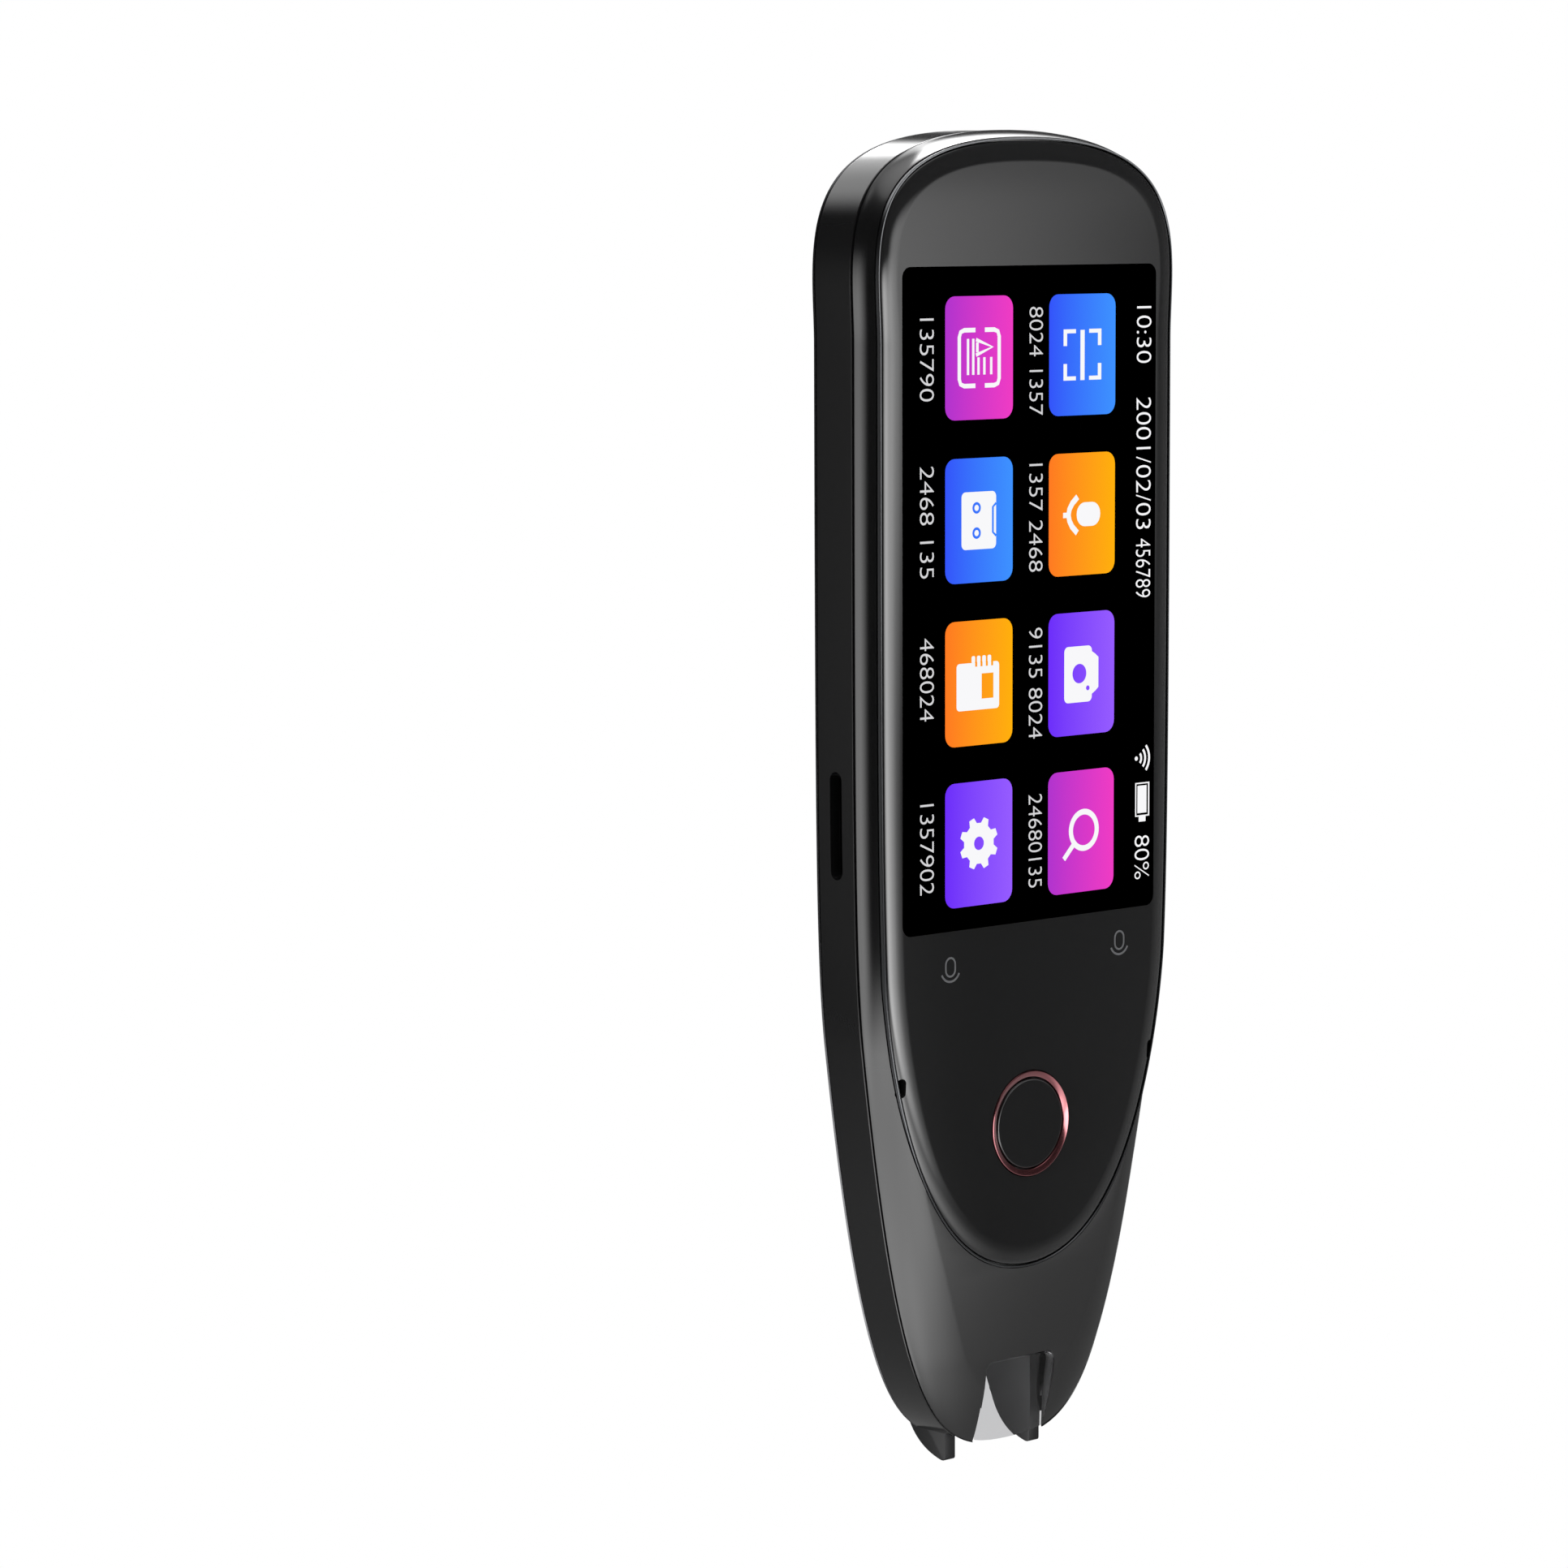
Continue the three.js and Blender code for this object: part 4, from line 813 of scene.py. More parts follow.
def home_button():
    """A cap with a flange behind the ring; its front edge is a quarter circle."""
    inner = HOME_R - HOME_RING
    edge, flange = inner - HOME_GAP, inner + HOME_GAP
    flange_front = GLASS_BACK + HOME_GAP
    flange_back = flange_front + HOME_FLANGE
    turn = np.arange(HOME_ROUND_STEPS + 1) / HOME_ROUND_STEPS * math.pi / 2
    rounded = np.column_stack([
        edge - HOME_PROUD + HOME_PROUD * np.cos(turn),
        GLASS_FACE + HOME_PROUD - HOME_PROUD * np.sin(turn)])
    profile = [
        (AXIS_R, flange_back), (flange, flange_back), (flange, flange_front), (edge, flange_front),
        *rounded, (edge - 2 * HOME_PROUD, GLASS_FACE), (AXIS_R, GLASS_FACE)]
    return solid("home_cap", *lathe(profile, HOME_Z, ROUND_SIDES), BUTTON_BLACK,
                 body="home_key", slot="gloss_black", stands_for=["home_button"])


tell(home_button())

# %% [markdown]
# ## Side keys
#
# The volume rocker and the power button are slim bars with coloured walls and a grey, rounded
# top that carries small marks. Each rides on its own body, so it can move apart from the pen. A
# bevelled box would do for the bar, but rows of points let walls and top differ in finish.

# %% Bar of a key
KEY_PROUD, KEY_EDGE, KEY_CORNER_STEPS, KEY_ROUND_STEPS = 0.7, 0.35, 14, 5
KEY_FLANGE, FLANGE_WIDER, FLANGE_CORNER, KEY_SINK = 0.5, 0.3, 0.35, 0.05
FLANGE_LENGTH = {"volume_rocker": 9.0, "power_button": POWER[1] + 2 * FLANGE_WIDER}
MARK_SINK, MARK_PROUD, MARK_CORNER_STEPS = 0.02, 0.03, 8
KEY_TOP = material("key top", srgb(122, 123, 126), 0.3, 0.8)
KEY_SIDE = material("key side", srgb(222, 34, 96), 0.34, 0.35)
KEY_MARK = material("key mark", srgb(236, 236, 236), 0.5)


def key_bar(height, length, flange_length):
    """Points, faces and finish of each face: an inner flange, then the bar, whose edge is a
    quarter circle. The first two rows of walls are coloured, the rest is the top."""
    flange_out = width_at(POWER[0]) - FRAME_WALL - KEY_GAP
    flange_in, face, wide = flange_out - KEY_FLANGE, width_at(height) + KEY_PROUD, KEY_WIDTH / 2
    outline = stadium(BAND_MID, height, wide + FLANGE_WIDER, flange_length / 2, FLANGE_CORNER)
    start = 2 * len(outline)
    faces = walls(2, len(outline))
    faces += [list(range(len(outline)))[::-1], list(range(len(outline), start))]
    marks = [0] * len(faces)
    turn = np.arange(1, KEY_ROUND_STEPS + 1) / KEY_ROUND_STEPS * math.pi / 2
    levels = [flange_in + KEY_SINK, face - KEY_EDGE, *(face - KEY_EDGE + KEY_EDGE * np.sin(turn))]
    insets = [0, 0, *(KEY_EDGE * (1 - np.cos(turn)))]
    rows = [along(stadium(BAND_MID, height, wide - inset, length / 2 - inset, wide - inset,
                          KEY_CORNER_STEPS), "x", x) for x, inset in zip(levels, insets)]
    count, spans = len(rows[0]), len(rows) - 1
    bar_faces = walls(len(rows), count)
    bar_faces += [list(range(spans * count, (spans + 1) * count)), list(range(count))[::-1]]
    faces += [[start + k for k in each] for each in bar_faces]
    marks += [0] * 2 * count + [1] * (spans - 2) * count + [1, 0]
    flange = [along(outline, "x", x) for x in (flange_in, flange_out)]
    return np.vstack(flange + rows), faces, marks, face

# %% Both keys
def key(name, node, body, height, length, dots):
    """The bar, and on its top raised marks given by their place and half sizes."""
    points, faces, marks, face = key_bar(height, length, FLANGE_LENGTH[node])
    made = mesh_object(
        name, points, faces, [KEY_SIDE, KEY_TOP], marks, body=body, slot="key_red",
        stands_for=[node])
    for k, (up, half_long, half_wide) in enumerate(dots):
        corner = min(half_wide, half_long)
        flat = stadium(BAND_MID, height + up, half_wide, half_long, corner,
                       MARK_CORNER_STEPS)
        shape = prism(flat, "x", face - MARK_SINK, face + MARK_PROUD)
        solid(f"{name}_mark_{k}", *shape, KEY_MARK, body=body, slot="key_red")
    return tell(made)


key("rocker", "volume_rocker", "volume_key", *ROCKER, [(8.6, 0.35, 0.35), (-8.6, 0.35, 0.35)])
key("power", "power_button", "power_key", *POWER, [(0.0, 2.6, 0.22)])

# %% [markdown]
# ## Rear camera ring
#
# A red anodised ring stands a little proud of the back and holds the camera glass. It could be
# a torus, but a turned ring has a flat rim and a square flange. Its edges are broken on the inside
# and the outside, so that both catch the light.

# %% Rear camera ring
CAMERA_RING, CAMERA_PROUD, CAMERA_FLANGE, CAMERA_FLANGE_THICK = 0.7, 0.4, 0.7, 0.5
HOOP_SOFT, HOOP_BREAK, HOOP_SIDES, FLANGE_DROP = 0.2, 0.06, 128, 0.3
HOOP_SLOPE = ((0.25, 0.02), (0.35, 0.0))
RED_RING = material("red anodised", srgb(120, 24, 34), 0.22, 0.9)


def camera_ring():
    """Radius and level pairs: bore, slope, flat rim, broken edge and inner flange."""
    front, inner = BACK_FACE + CAMERA_PROUD, CAMERA_R - CAMERA_RING
    flange = CAMERA_R + CAMERA_FLANGE
    flange_back = BACK_FACE - SHELL_WALL - FLANGE_DROP
    root = flange_back - CAMERA_FLANGE_THICK
    profile = [
        (inner, root), (inner, front - HOOP_SOFT),
        *((inner + inset, front - drop) for inset, drop in HOOP_SLOPE),
        (CAMERA_R - HOOP_SOFT, front), (CAMERA_R - HOOP_BREAK, front - HOOP_BREAK),
        (CAMERA_R, front - HOOP_SOFT), (CAMERA_R, flange_back), (flange, flange_back),
        (flange, root)]
    shape = lathe(profile, CAMERA_Z, HOOP_SIDES)
    return solid("lens_hoop", *shape, RED_RING, slot="red_metal", stands_for=["camera_ring"])


tell(camera_ring())

# %% [markdown]
# ## Forked tip
#
# The tip is a plastic channel with two feet that is pressed on the page and slides in a little.
# Its side profile is given a depth across the whole pen, kept inside one arch and cut by a
# smaller one, which leaves two cheeks and a bridge. It could be put together from plates, but
# this way its corners run through in one piece. A narrow bevel breaks the sharp edges.

# %% Side profile of a foot
FORK_HALF, CHEEK, FORK_TOP, FORK_CORNER, FORK_FRONT = 7.5, 1.6, 15.1, 2.0, -1.1
FOOT_CORNER, FOOT_FLAT, HEEL, TOP_BACK = 0.35, 0.3, (5.2, 4.6), (6.4, FORK_TOP)
HEEL_PULL, WAIST_PULL, PROFILE_STEPS, TOE_POINTS = (3.8, 1.0), (7.7, 8.5), 14, 9
SAME_POINT = 1e-6


def fork_side():
    """Y and Z: a quarter circle under the foot, then two quadratic curves up its back."""
    toe = arc((FORK_FRONT + FOOT_CORNER, FOOT_CORNER), FOOT_CORNER, 180, 270, TOE_POINTS)
    share = np.arange(PROFILE_STEPS + 1)[:, None] / PROFILE_STEPS
    sole = (FORK_FRONT + FOOT_CORNER + FOOT_FLAT, 0.0)
    curves = [eased(np.array(start), np.array(pull), np.array(end), share)
              for start, pull, end in ((sole, HEEL_PULL, HEEL), (HEEL, WAIST_PULL, TOP_BACK))]
    points = np.vstack([[(FORK_FRONT, FORK_TOP)], toe, *curves])
    apart = np.linalg.norm(np.diff(points, axis=0), axis=1) > SAME_POINT
    return points[np.r_[True, apart]]


print("points of the side profile:", len(fork_side()))


# %% Forked tip
PIN_SPREAD, PIN_R, PIN_Y, PIN_TOP, PIN_SIDES = 4.7, 0.8, 1.2, 23.9, 32
FORK_BORE, BORE_SIDES, BORE_OVER = 2.8, 48, 1
TIP_BREAK, BREAK_STEPS, BREAK_ABOVE = 0.16, 3, 40
TIP_PLASTIC = grain(material("tip plastic", srgb(50, 50, 52), 0.36), 3000, 0.15)


def forked_tip():
    """The profile inside the larger arch, less the smaller arch and the bore, plus pins."""
    fork = solid("tip_feet", *prism(fork_side(), "x", -HALF, HALF), TIP_PLASTIC, body="tip",
                 slot="tip_black", stands_for=["tip_fork"])
    levels = (GLASS_FACE, BACK_FACE + OVER)
    bridge = FORK_TOP - CHEEK
    bore = prism(circle((0, PIN_Y), FORK_BORE, BORE_SIDES), "z", bridge - BORE_OVER,
                 FORK_TOP + BORE_OVER)
    pins = [prism(circle((x, PIN_Y), PIN_R, PIN_SIDES), "z", FORK_TOP - CHEEK / 2, PIN_TOP)
            for x in (-PIN_SPREAD, PIN_SPREAD)]
    carve(
        fork, keep=[arch_tool(FORK_HALF, FORK_TOP, FORK_CORNER, *levels)],
        cut=[arch_tool(FORK_HALF - CHEEK, bridge, FORK_CORNER - CHEEK / 2, *levels), tool(*bore)],
        join=[tool(*pin) for pin in pins])
    bevel = fork.modifiers.new("bevel", "BEVEL")
    bevel.width, bevel.segments = TIP_BREAK * MM, BREAK_STEPS
    bevel.limit_method, bevel.angle_limit = "ANGLE", math.radians(BREAK_ABOVE)
    return carve(fork)


tell(forked_tip())

# %% [markdown]
# ## Display: lit plates
#
# The picture on the display is landscape: its upright direction is +X, and its lines run down
# the pen. A picture file could be shown on the glass, but thin lit plates need no file and stay
# sharp at any distance. They lie in layers a few hundredths of a millimetre over the glass.

# %% Lit finish and plates
PICTURE_LEVEL, TILE_LEVEL, GLYPH_LEVEL, CUT_LEVEL = 0.012, 0.02, 0.03, 0.038


def lit(name, low, high=None, x_low=0.0, x_high=1.0):
    """A lit area; its colour may run from low to high, evenly with X, across the display."""
    made = material(name, (0, 0, 0, 1), 0.3, Specular_IOR_Level=0.0, Emission_Strength=1.0,
                    Emission_Color=low)
    if high is None:
        return made
    tree = made.node_tree
    share = step_between(
        tree, place_on(tree, "Object", "X"), x_low * MM, x_high * MM, 0.0, 1.0, "LINEAR")
    mix = add_node(tree, "Mix", {"Factor": share, "A": low, "B": high}, data_type="RGBA")
    return feed_shader(made, "Emission Color", mix.outputs["Result"])


def plates(name, outlines, look, level, below=0.0):
    """Thin plates on the glass from closed outlines in X and Z, in one piece."""
    points, faces, start = [], [], 0
    for outline in outlines:
        made, sides = prism(outline, "y", GLASS_FACE - level, GLASS_FACE - below)
        faces += [[start + k for k in face] for face in sides]
        points.append(made)
        start += len(made)
    return mesh_object(name, np.vstack(points), faces, [look], slot="display_black")


# %% Outlines for the pictograms
BAR_CORNER_STEPS, HALF_TURN_POINTS = 6, 21


def counterclockwise(points):
    """Twice the area is the sum of x z' - x' z over neighbours; a negative one is turned."""
    x, z = np.array(points, float).T
    area = np.sum(x * np.roll(z, -1) - np.roll(x, -1) * z)
    return points if area > 0 else points[::-1]


def stroke(points, width):
    """Band of even width along an open path: half the width along the normal, to both sides."""
    path = np.array(points, float)
    step = np.gradient(path, axis=0)
    step /= np.linalg.norm(step, axis=1)[:, None]
    normal = np.column_stack([-step[:, 1], step[:, 0]]) * width / 2
    return counterclockwise(np.vstack([path + normal, (path - normal)[::-1]]))


def bar(x_low, x_high, z_low, z_high, corner=0.0):
    """A rectangle from its limits; its corners are round where a radius is given."""
    if not corner:
        return [(x_high, z_high), (x_low, z_high), (x_low, z_low), (x_high, z_low)]
    return stadium(
        (x_low + x_high) / 2, (z_low + z_high) / 2, (x_high - x_low) / 2, (z_high - z_low) / 2,
        corner, BAR_CORNER_STEPS)


def hoop(at, radius, width):
    """A ring in two halves, so that each half is one simple outline."""
    outer, inner = ([arc(at, reach, start, start + 180, HALF_TURN_POINTS) for start in (0, 180)]
                    for reach in (radius, radius - width))
    return [np.vstack([out, back[::-1]]) for out, back in zip(outer, inner)]


def dot(across, up, radius, steps=8):
    """A round spot: a stadium whose half sizes and corner are its radius."""
    return stadium(across, up, radius, radius, radius, steps)


# %% [markdown]
# ## Display: pictograms
#
# Eight tiles carry plain pictograms. Real cuts would need Booleans in very thin plates, so each
# pictogram is drawn round zero, in millimetres, as pale outlines and as outlines that look cut
# into them: those lie one layer higher, in the tile's own colour.

# %% Pictograms of the left column
def glyph_page():
    """An open book: two page edges, lines of text and a small picture."""
    bend = np.array([(-0.6, 3.05), (-2.3, 3.05), (-2.85, 2.85), (-3.05, 2.3)])
    left = np.vstack([bend, bend[::-1] * (1, -1)])
    right = np.column_stack([np.maximum(-left[:, 0], 0.85), left[:, 1]])
    lines = [bar(-1.9, -1.55, -1.85, 2.1), bar(-1.1, -0.75, -1.85, 2.1)]
    lines += [bar(x, x + 0.35, -1.85, 0.05) for x in (-0.3, 0.6, 1.65)]
    picture = [stroke([(-0.5, 2.0), (2.0, 1.15), (-0.5, 0.3)], 0.4), bar(-0.5, -0.1, 0.6, 1.7)]
    return [stroke(left, 0.5), stroke(right, 0.5)] + lines + picture, []


def glyph_recorder():
    """A recorder: two reels and a slot that look cut into a rounded body."""
    reels = hoop((-0.4, 1.38), 0.64, 0.3) + hoop((-0.4, -1.4), 0.64, 0.3)
    slot = stroke([(2.6, 1.8), (2.1, 1.4), (2.1, -1.4), (2.6, -1.8)], 0.28)
    return [bar(-2.7, 2.6, -3.2, 3.15, 0.6)], reels + [slot]


def glyph_card():
    """A card with four contacts and a label."""
    tabs = [bar(-1.15 + 0.82 * k, -0.6 + 0.82 * k, 2.2, 3.0, 0.2) for k in range(4)]
    gaps = [bar(-0.6 + 0.82 * k, -0.3 + 0.82 * k, 1.8, 2.3) for k in range(4)]
    return [bar(-3.45, 3.1, -3.0, 2.25, 0.45)] + tabs, gaps + [bar(0.4, 2.2, -1.8, 1.0)]


def glyph_gear():
    """Eight teeth: each is four points, two at the root and two at the tip."""
    turn = np.radians(45 * np.arange(8)[:, None] + (8, 15, 30, 37))
    radius = np.array([2.3, 2.95, 2.95, 2.3])
    rim = np.column_stack([(radius * np.cos(turn)).ravel(), (radius * np.sin(turn)).ravel()])
    return [rim], [dot(0, 0, 0.75)]


# %% Pictograms of the right column
def glyph_brackets():
    """Four corner brackets, one corner mirrored both ways, and a bar between them."""
    corner = np.array([
        (1.05, 2.4), (1.05, 2.85), (3.0, 2.85), (3.0, 1.0), (2.45, 1.0), (2.45, 2.4)])
    corners = [corner * (across, up) for across in (-1, 1) for up in (-1, 1)]
    return corners + [bar(-0.33, 0.33, -2.85, 2.75)], []


def glyph_microphone():
    """A capsule, its cup as a stroke, and a foot."""
    cup = [(-0.7, 1.95), (-1.55, 1.25), (-2.0, 0.6), (-2.15, -0.05), (-2.0, -0.7),
           (-1.6, -1.35), (-0.75, -2.1)]
    return [bar(-0.85, 2.9, -1.4, 1.3, 1.3), stroke(cup, 0.7), bar(-3.0, -2.1, -0.35, 0.25)], []


def glyph_camera():
    """A body and its hump, with a lens and a small lamp that look cut in."""
    hump = [(1.5, -2.5), (2.2, -2.1), (2.7, -1.7), (2.7, 1.7), (2.2, 2.1), (1.5, 2.5)]
    holes = [dot(-0.35, 0, 1.1), dot(1.0, -1.7, 0.28, 4)]
    return [bar(-2.75, 1.65, -3.25, 3.1, 0.6), hump], holes


def glyph_magnifier():
    """A ring and a stroke for its handle."""
    return hoop((0.45, 0.1), 2.4, 0.65) + [stroke([(-1.15, -1.4), (-2.75, -3.0)], 0.6)], []


# %% [markdown]
# ## Display: numbers
#
# Plain numbers stand beside the tiles and along the upper edge. They could be drawn with strokes
# like the pictograms, but Blender's own text makes their outlines at once. It is turned into a
# mesh first, because a piece's place belongs in its mesh, and then fitted to height and length.

# %% Numbers as thin pieces
TEXT_DEPTH, TEXT_THINNER = 0.5, -0.012


def digits(name, text, start, tall, length, look):
    """Shares of the text's own box set in space: up becomes +X, along -Z, depth the layer."""
    data = bpy.data.curves.new(name, "FONT")
    data.body, data.extrude, data.offset = text, TEXT_DEPTH, TEXT_THINNER
    source = bpy.data.objects.new(name + "_source", data)
    bpy.context.scene.collection.objects.link(source)
    graph = bpy.context.evaluated_depsgraph_get()
    mesh = bpy.data.meshes.new_from_object(source.evaluated_get(graph))
    bpy.data.objects.remove(source)
    p = mesh_points(mesh)
    u, v, w = ((p - p.min(axis=0)) / np.ptp(p, axis=0)).T
    level = GLASS_FACE - PICTURE_LEVEL - w * (GLYPH_LEVEL - PICTURE_LEVEL)
    placed = np.column_stack([start[0] + v * tall, level, start[1] - u * length]) * MM
    mesh.vertices.foreach_set("co", placed.ravel())
    mesh.materials.clear()
    mesh.materials.append(look)
    made = bpy.data.objects.new(name, mesh)
    bpy.context.scene.collection.objects.link(made)
    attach(made, PEN)


# %% [markdown]
# ## Display: the whole picture
#
# Everything is laid out from a few tables: the ends of the tiles, their colours and pictograms,
# and for each number its text, the height of its start and its length down the pen. A change of
# layout is then a change of one line.

# %% Layout tables
SCREEN = (-19.75, 19.75, 61.85, 135.1, 1.2)
TILE_CORNER = 1.4
TILE_COLUMNS = ((-13.33, -2.97), (2.68, 13.19))
TILE_ROWS = ((118.3, 131.83), (100.35, 114.08), (82.31, 96.17), (64.4, 78.27))
COLOURS = {
    "magenta": (srgb(176, 52, 206), srgb(240, 60, 196)),
    "blue": (srgb(52, 84, 250), srgb(62, 146, 255)),
    "orange": (srgb(255, 122, 34), srgb(255, 176, 12)),
    "violet": (srgb(108, 46, 250), srgb(150, 92, 255)),
}
TILE_COLOURS = (("magenta", "blue", "orange", "violet"), ("blue", "orange", "violet", "magenta"))
GLYPHS = (
    (glyph_page, glyph_recorder, glyph_card, glyph_gear),
    (glyph_brackets, glyph_microphone, glyph_camera, glyph_magnifier))
LABEL_X, LABEL_TALL = (-17.15, -0.4), 2.1
LABELS = (
    (("135790", 129.5, 9.0), ("2468 135", 113.4, 12.2), ("468024", 94.6, 9.1),
     ("1357902", 76.3, 10.0)),
    (("8024 1357", 130.5, 12.0), ("1357 2468", 113.1, 12.0), ("9135 8024", 94.8, 12.4),
     ("24680135", 76.1, 10.5)))
STATUS_X, STATUS_TALL = 16.65, 2.35
STATUS = (("10:30", 130.3, 6.4), ("2001/02/03", 120.0, 14.9), ("456789", 104.0, 6.7),
          ("80%", 70.0, 5.0))
print("display, mm:", SCREEN[1] - SCREEN[0], "by", SCREEN[3] - SCREEN[2])

# %% Tiles, pictograms and numbers
BLACK = lit("screen black", (0, 0, 0, 1))
WHITE = lit("screen white", srgb(248, 248, 250))
GREY = lit("screen grey", srgb(214, 214, 216))


def tile(column, row):
    """One tile with its pictogram, and its number beside it."""
    (x_low, x_high), (z_low, z_high) = TILE_COLUMNS[column], TILE_ROWS[row]
    spot, name = f"{column}_{row}", TILE_COLOURS[column][row]
    colour = lit(f"tile {name} {column}", *COLOURS[name], x_low, x_high)
    plates("tile_" + spot, [bar(x_low, x_high, z_low, z_high, TILE_CORNER)], colour, TILE_LEVEL,
           PICTURE_LEVEL)
    middle = (x_low + x_high) / 2, (z_low + z_high) / 2
    pale, cuts = ([counterclockwise(np.add(outline, middle)) for outline in part]
                  for part in GLYPHS[column][row]())
    plates("glyph_" + spot, pale, WHITE, GLYPH_LEVEL, TILE_LEVEL)
    if cuts:
        plates("glyph_cut_" + spot, cuts, colour, CUT_LEVEL, GLYPH_LEVEL)
    text, high, length = LABELS[column][row]
    digits("label_" + spot, text, (LABEL_X[column], high), LABEL_TALL, length, GREY)


plates("picture_ground", [bar(*SCREEN)], BLACK, PICTURE_LEVEL)
for column in range(len(TILE_COLUMNS)):
    for row in range(len(TILE_ROWS)):
        tile(column, row)
for k, (text, high, length) in enumerate(STATUS):
    digits(f"status_{k}", text, (STATUS_X, high), STATUS_TALL, length, WHITE)
print("tiles:", len(TILE_COLUMNS) * len(TILE_ROWS), "numbers beside the time:", len(STATUS) - 1)

# %% Wireless and battery marks
WAVES_AT, WAVE_RADII, WAVE_SPREAD, WAVE_LINE = (16.85, 78.9), (0.8, 1.45, 2.1), 42, 0.3
WAVE_DOT, WAVE_DOT_STEPS = 0.25, 6
BATTERY = ((16.7, 16.88, 72.2, 76.1), (18.8, 19.0, 72.2, 76.1), (16.88, 18.8, 75.95, 76.1),
           (16.88, 18.8, 72.2, 72.35), (17.3, 18.4, 71.6, 72.2), (17.08, 18.55, 72.6, 75.75))


def status_marks():
    """Three arcs and a dot for the wireless sign, and six bars for the battery."""
    waves = [stroke(arc(WAVES_AT, radius, -WAVE_SPREAD, WAVE_SPREAD), WAVE_LINE)
             for radius in WAVE_RADII]
    waves.append(dot(*WAVES_AT, WAVE_DOT, WAVE_DOT_STEPS))
    case = [bar(*limits) for limits in BATTERY]
    for name, outlines in (("wireless_mark", waves), ("battery_mark", case)):
        tell(plates(name, outlines, WHITE, GLYPH_LEVEL, PICTURE_LEVEL))


status_marks()

# %% [markdown]
# ## Microphone marks
#
# Two small grey marks are printed on the glass under the display, one for each microphone. A
# picture on the glass could carry them, but flat plates that just clear it stay sharp and need
# no file. Each is drawn with strokes of even width.

# %% Microphone marks
PRINT = material("pale print", srgb(178, 179, 182), 0.6)
MICROPHONES = (("left", -12.5, 57.9), ("right", 14.2, 58.3))
CAPSULE_R, CAPSULE_ENDS, CAPSULE_SIDE, CAPSULE_LINE = 0.72, (0.28, -0.36), (0.2, -0.28), 0.22
CUP_R, CUP_DROP, CUP_ENDS, CUP_LINE = 1.46, 0.2, (205, 335), 0.24


def microphone_marks():
    """An outlined capsule in an arc that stands for its cup, once for each microphone."""
    r, (upper, lower), (high, low) = CAPSULE_R, CAPSULE_ENDS, CAPSULE_SIDE
    for side, x, z in MICROPHONES:
        capsule = stroke(
            [(x + r, z + high), *arc((x, z + upper), r, 15, 165, 8), (x - r, z + high),
             (x - r, z + low), *arc((x, z + lower), r, 195, 345, 8), (x + r, z + low),
             (x + r, z + high)], CAPSULE_LINE)
        cup = stroke(arc((x, z - CUP_DROP), CUP_R, *CUP_ENDS), CUP_LINE)
        tell(plates(f"microphone_mark_{side}", [capsule, cup], PRINT, TILE_LEVEL))


microphone_marks()

# %% [markdown]
# ## Inner pieces
#
# Boards, battery, switches, springs and screws keep their CAD shapes and are mostly hidden, so
# finer twins would add little. Each still gets a finish of its own, because the camera glass, the
# speaker holes and the scan bay let the eye in.

# %% Finishes of the CAD pieces
LENS_COVER = material("lens cover", (0.82, 0.84, 0.88, 1), 0.01, Transmission_Weight=1.0, IOR=1.12)
LENS = material("coated lens", srgb(84, 88, 196), 0.05, 0.6, Coat_Weight=1.0,
                Coat_Tint=(0.62, 0.66, 1, 1))
LENS_BARREL = material("lens barrel", srgb(14, 14, 16), 0.3, Specular_IOR_Level=0.12)
DARK_PLASTIC = material("dark plastic", srgb(36, 37, 39), 0.55)
PALE_PLASTIC = material("pale plastic", srgb(214, 214, 208), 0.5)
STEEL = material("steel", srgb(186, 189, 192), 0.32, 1.0)
DARK_STEEL = material("dark steel", srgb(52, 53, 56), 0.4, 0.8)
BOARD = material("solder mask", srgb(24, 92, 62), 0.45)
FOIL = material("battery foil", srgb(158, 163, 168), 0.4, 0.8)
FILM = material("antenna film", srgb(176, 124, 52), 0.45, 0.4)
LAMP = material("lamp", srgb(244, 240, 222), 0.4)
NODE_LOOKS = {
    DARK_PLASTIC: "chassis home_switch speaker_chamber tip_guide tip_switch scan_camera "
                  "port_tongue",
    LENS_BARREL: "camera_module",
    LENS_COVER: "camera_glass",
    LENS: "camera_lens scan_lens",
    PALE_PLASTIC: "home_plunger volume_up_plunger volume_down_plunger power_plunger tip_plunger",
    BOARD: "main_board key_board scan_sensor_board scan_light_board",
    STEEL: "chassis_screw_1 chassis_screw_2 chassis_screw_3 chassis_screw_4 shield_can_lower "
           "shield_can_upper speaker volume_up_switch volume_down_switch power_switch "
           "tip_spring_left tip_spring_right microphone_left microphone_right charge_port",
    DARK_STEEL: "card_socket",
    FOIL: "battery",
    FILM: "wifi_antenna",
    LAMP: "scan_led_left scan_led_right",
    TRIM: "speaker_screen",
    BLACK_GLASS: "display_panel",
}
for look, names in NODE_LOOKS.items():
    for name in names.split():
        slots = frame["nodes"][name].data.materials
        slots.clear()
        slots.append(look)
print("CAD pieces with a finish:", sum(len(names.split()) for names in NODE_LOOKS.values()))

# %% [markdown]
# ## Studio light
#
# The glossy black pen shows its surroundings more than its own colour, so the reflections make
# the likeness. Lamps could stand round it, but soft panels painted on the world need no objects.
# Each panel is given by the turn and rise of its middle, and its edges fall off smoothly. What
# the camera sees directly or through clear pieces is plain white.

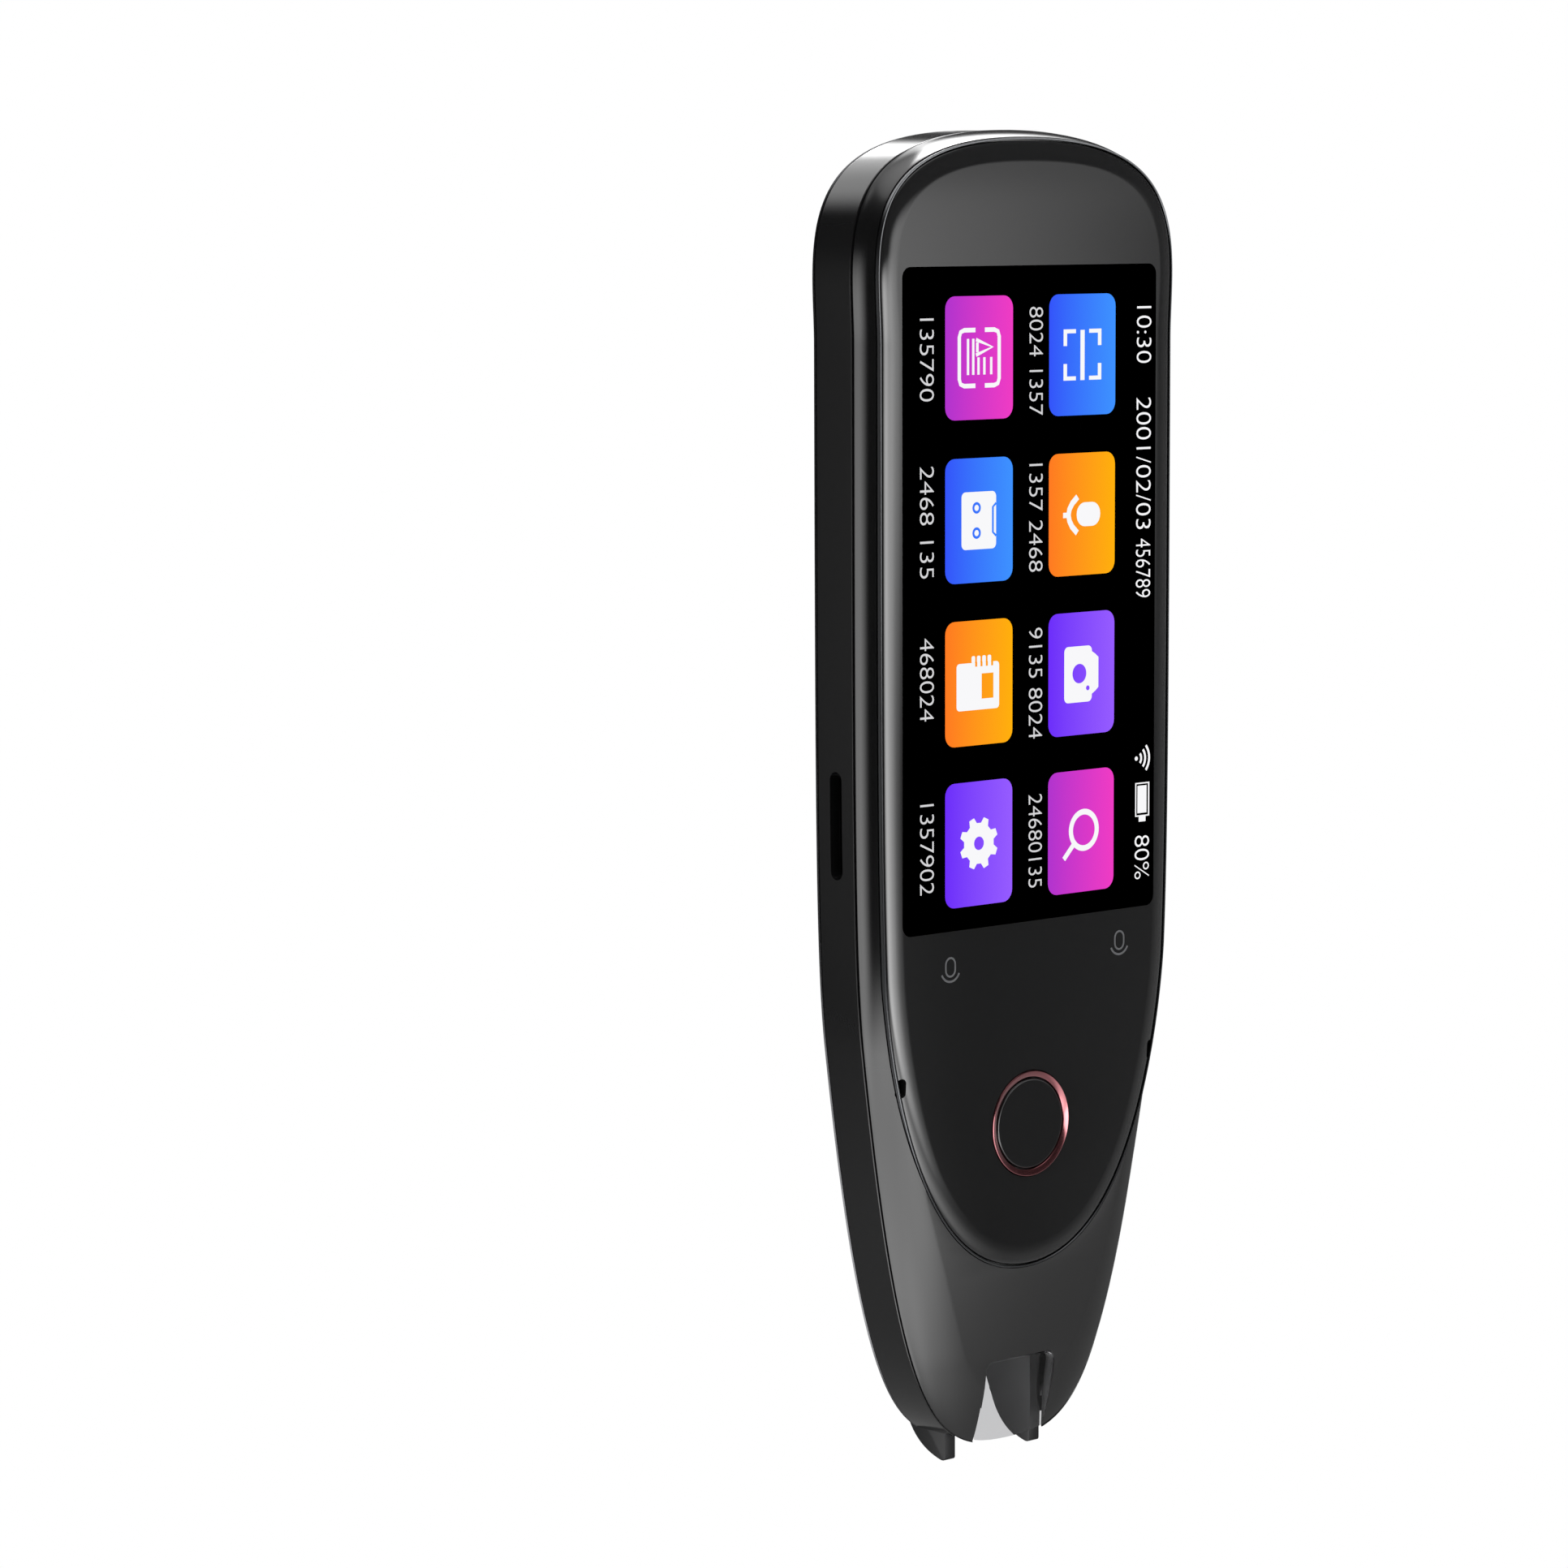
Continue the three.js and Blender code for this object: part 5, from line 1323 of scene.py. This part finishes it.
# %% Panels and sky
# Turn and rise of the middle, half width and height, softness across and up, in degrees; level
PANELS = (
    (4.6, -8.3, 19, 8, 19, 2.5, 4.4),
    (37, 0.5, 8, 4.7, 14, 3.1, 4.6),
    (120, 58, 21, 15, 6, 16, 14.7),
    (150, 15, 8, 18, 3, 3.3, 6.0),
    (165.5, 39, 46, 8, 18, 6.4, 2.2),
    (-121, -22, 4.4, 24, 15.5, 9, 3.2),
    (-68, -33, 54, 12, 26, 8, 3.0),
    (75.5, -12.5, 31, 9.4, 18, 15, 0.3),
    (0, -24, 24, 12, 22, 13, 1.8),
    (138, -7, 14, 6, 12, 10, 5.5),
)
# Height of the direction, and level
SKY = ((-1.0, 0.5), (-0.5, 0.23), (-0.2, 0.02), (0.1, 0.04), (0.4, 0.02), (0.72, 0.11),
       (0.82, 0.75), (1.0, 1.5))
print("panels:", len(PANELS), "levels of the sky:", len(SKY))

# %% Light from the panels and the sky
def maths(tree, operation, *values):
    """One step of arithmetic on numbers or on the outputs of other nodes."""
    return add_node(tree, "Math", enumerate(values), operation=operation).outputs["Value"]


def soft_edge(tree, value, half, soft):
    """One inside the half width, falling smoothly to nothing over the softness."""
    far, near = math.radians(half + soft), math.radians(half - soft)
    return step_between(tree, maths(tree, "ABSOLUTE", value), far, near, 0.0, 1.0)


def panel_light(tree, azimuth, elevation, settings):
    """Level * soft edge of the turn from the middle * soft edge of the rise from it."""
    turn, rise, half_wide, half_high, soft_wide, soft_high, level = settings
    across = maths(tree, "SUBTRACT", azimuth, math.radians(turn))
    across = maths(tree, "WRAP", across, math.pi, -math.pi)
    up = maths(tree, "SUBTRACT", elevation, math.radians(rise))
    wide = soft_edge(tree, across, half_wide, soft_wide)
    high = soft_edge(tree, up, half_high, soft_high)
    return maths(tree, "MULTIPLY", maths(tree, "MULTIPLY", wide, high), level)


def sky_light(tree, z):
    """A smooth curve through the levels of SKY, by the height of the direction."""
    ramp = add_node(tree, "FloatCurve", {"Value": maths(tree, "MULTIPLY_ADD", z, 0.5, 0.5)})
    curve = ramp.mapping.curves[0]
    while len(curve.points) < len(SKY):
        curve.points.new(0.5, 0.5)
    for point, (height, level) in zip(curve.points, SKY):
        point.location = ((height + 1) / 2, level / SKY[-1][1])
        point.handle_type = "AUTO_CLAMPED"
    ramp.mapping.update()
    return maths(tree, "MULTIPLY", ramp.outputs["Value"], SKY[-1][1])


# %% World
def direct_view(tree):
    """One for rays from the camera and for rays that pass through clear pieces."""
    path = add_node(tree, "LightPath").outputs
    return maths(tree, "MAXIMUM", path["Is Camera Ray"], path["Is Transmission Ray"])


def surround():
    """Turn is arctan2(x, -y) of the direction, and rise the arcsine of its z."""
    world = bpy.data.worlds.new("studio")
    world.use_nodes = True
    tree = world.node_tree
    tree.nodes.clear()
    place = add_node(tree, "TexCoord")
    split = add_node(tree, "SeparateXYZ", {"Vector": place.outputs["Generated"]})
    x, y, z = (split.outputs[key] for key in "XYZ")
    azimuth = maths(tree, "ARCTAN2", x, maths(tree, "MULTIPLY", y, -1.0))
    elevation = maths(tree, "ARCSINE", z)
    total = sky_light(tree, z)
    for settings in PANELS:
        total = maths(tree, "ADD", total, panel_light(tree, azimuth, elevation, settings))
    mix = add_node(tree, "Mix", {"Factor": direct_view(tree), "A": total, "B": 1.0})
    feeds = {"Color": (1, 1, 1, 1), "Strength": mix.outputs["Result"]}
    glow = add_node(tree, "Background", feeds)
    add_node(tree, "OutputWorld", {"Surface": glow.outputs["Background"]})
    bpy.context.scene.world = world
    print("nodes of the studio light:", len(tree.nodes))


surround()

# %% [markdown]
# ## Floor
#
# A pale floor carries the pen. It is white to the camera, as the backdrop is, and grey to
# everything else, so it throws little light back on the pen. Glossy rays don't see it, because
# a panel below the horizon gives the reflection that the photograph has there.

# %% Floor
FLOOR_SIDE, FLOOR_GREY = 3000.0, (0.16, 0.16, 0.16, 1)


def pale_floor():
    """Grey for every ray but those of the direct view, which get plain white."""
    look = bpy.data.materials.new("pale floor")
    look.use_nodes = True
    tree = look.node_tree
    tree.nodes.clear()
    dull = add_node(tree, "BsdfDiffuse", {"Color": FLOOR_GREY}).outputs["BSDF"]
    bright = add_node(tree, "Emission", {"Color": (1, 1, 1, 1)}).outputs["Emission"]
    mix = add_node(tree, "MixShader", {"Fac": direct_view(tree), 1: dull, 2: bright})
    add_node(tree, "OutputMaterial", {"Surface": mix.outputs["Shader"]})
    signs = ((-1, -1), (1, -1), (1, 1), (-1, 1))
    corners = [(x * FLOOR_SIDE, y * FLOOR_SIDE, 0) for x, y in signs]
    floor = mesh_object("floor", corners, [(0, 1, 2, 3)], [look], body=None)
    floor.visible_glossy = False
    tell(floor)


pale_floor()
bpy.context.scene.view_settings.view_transform = "Standard"
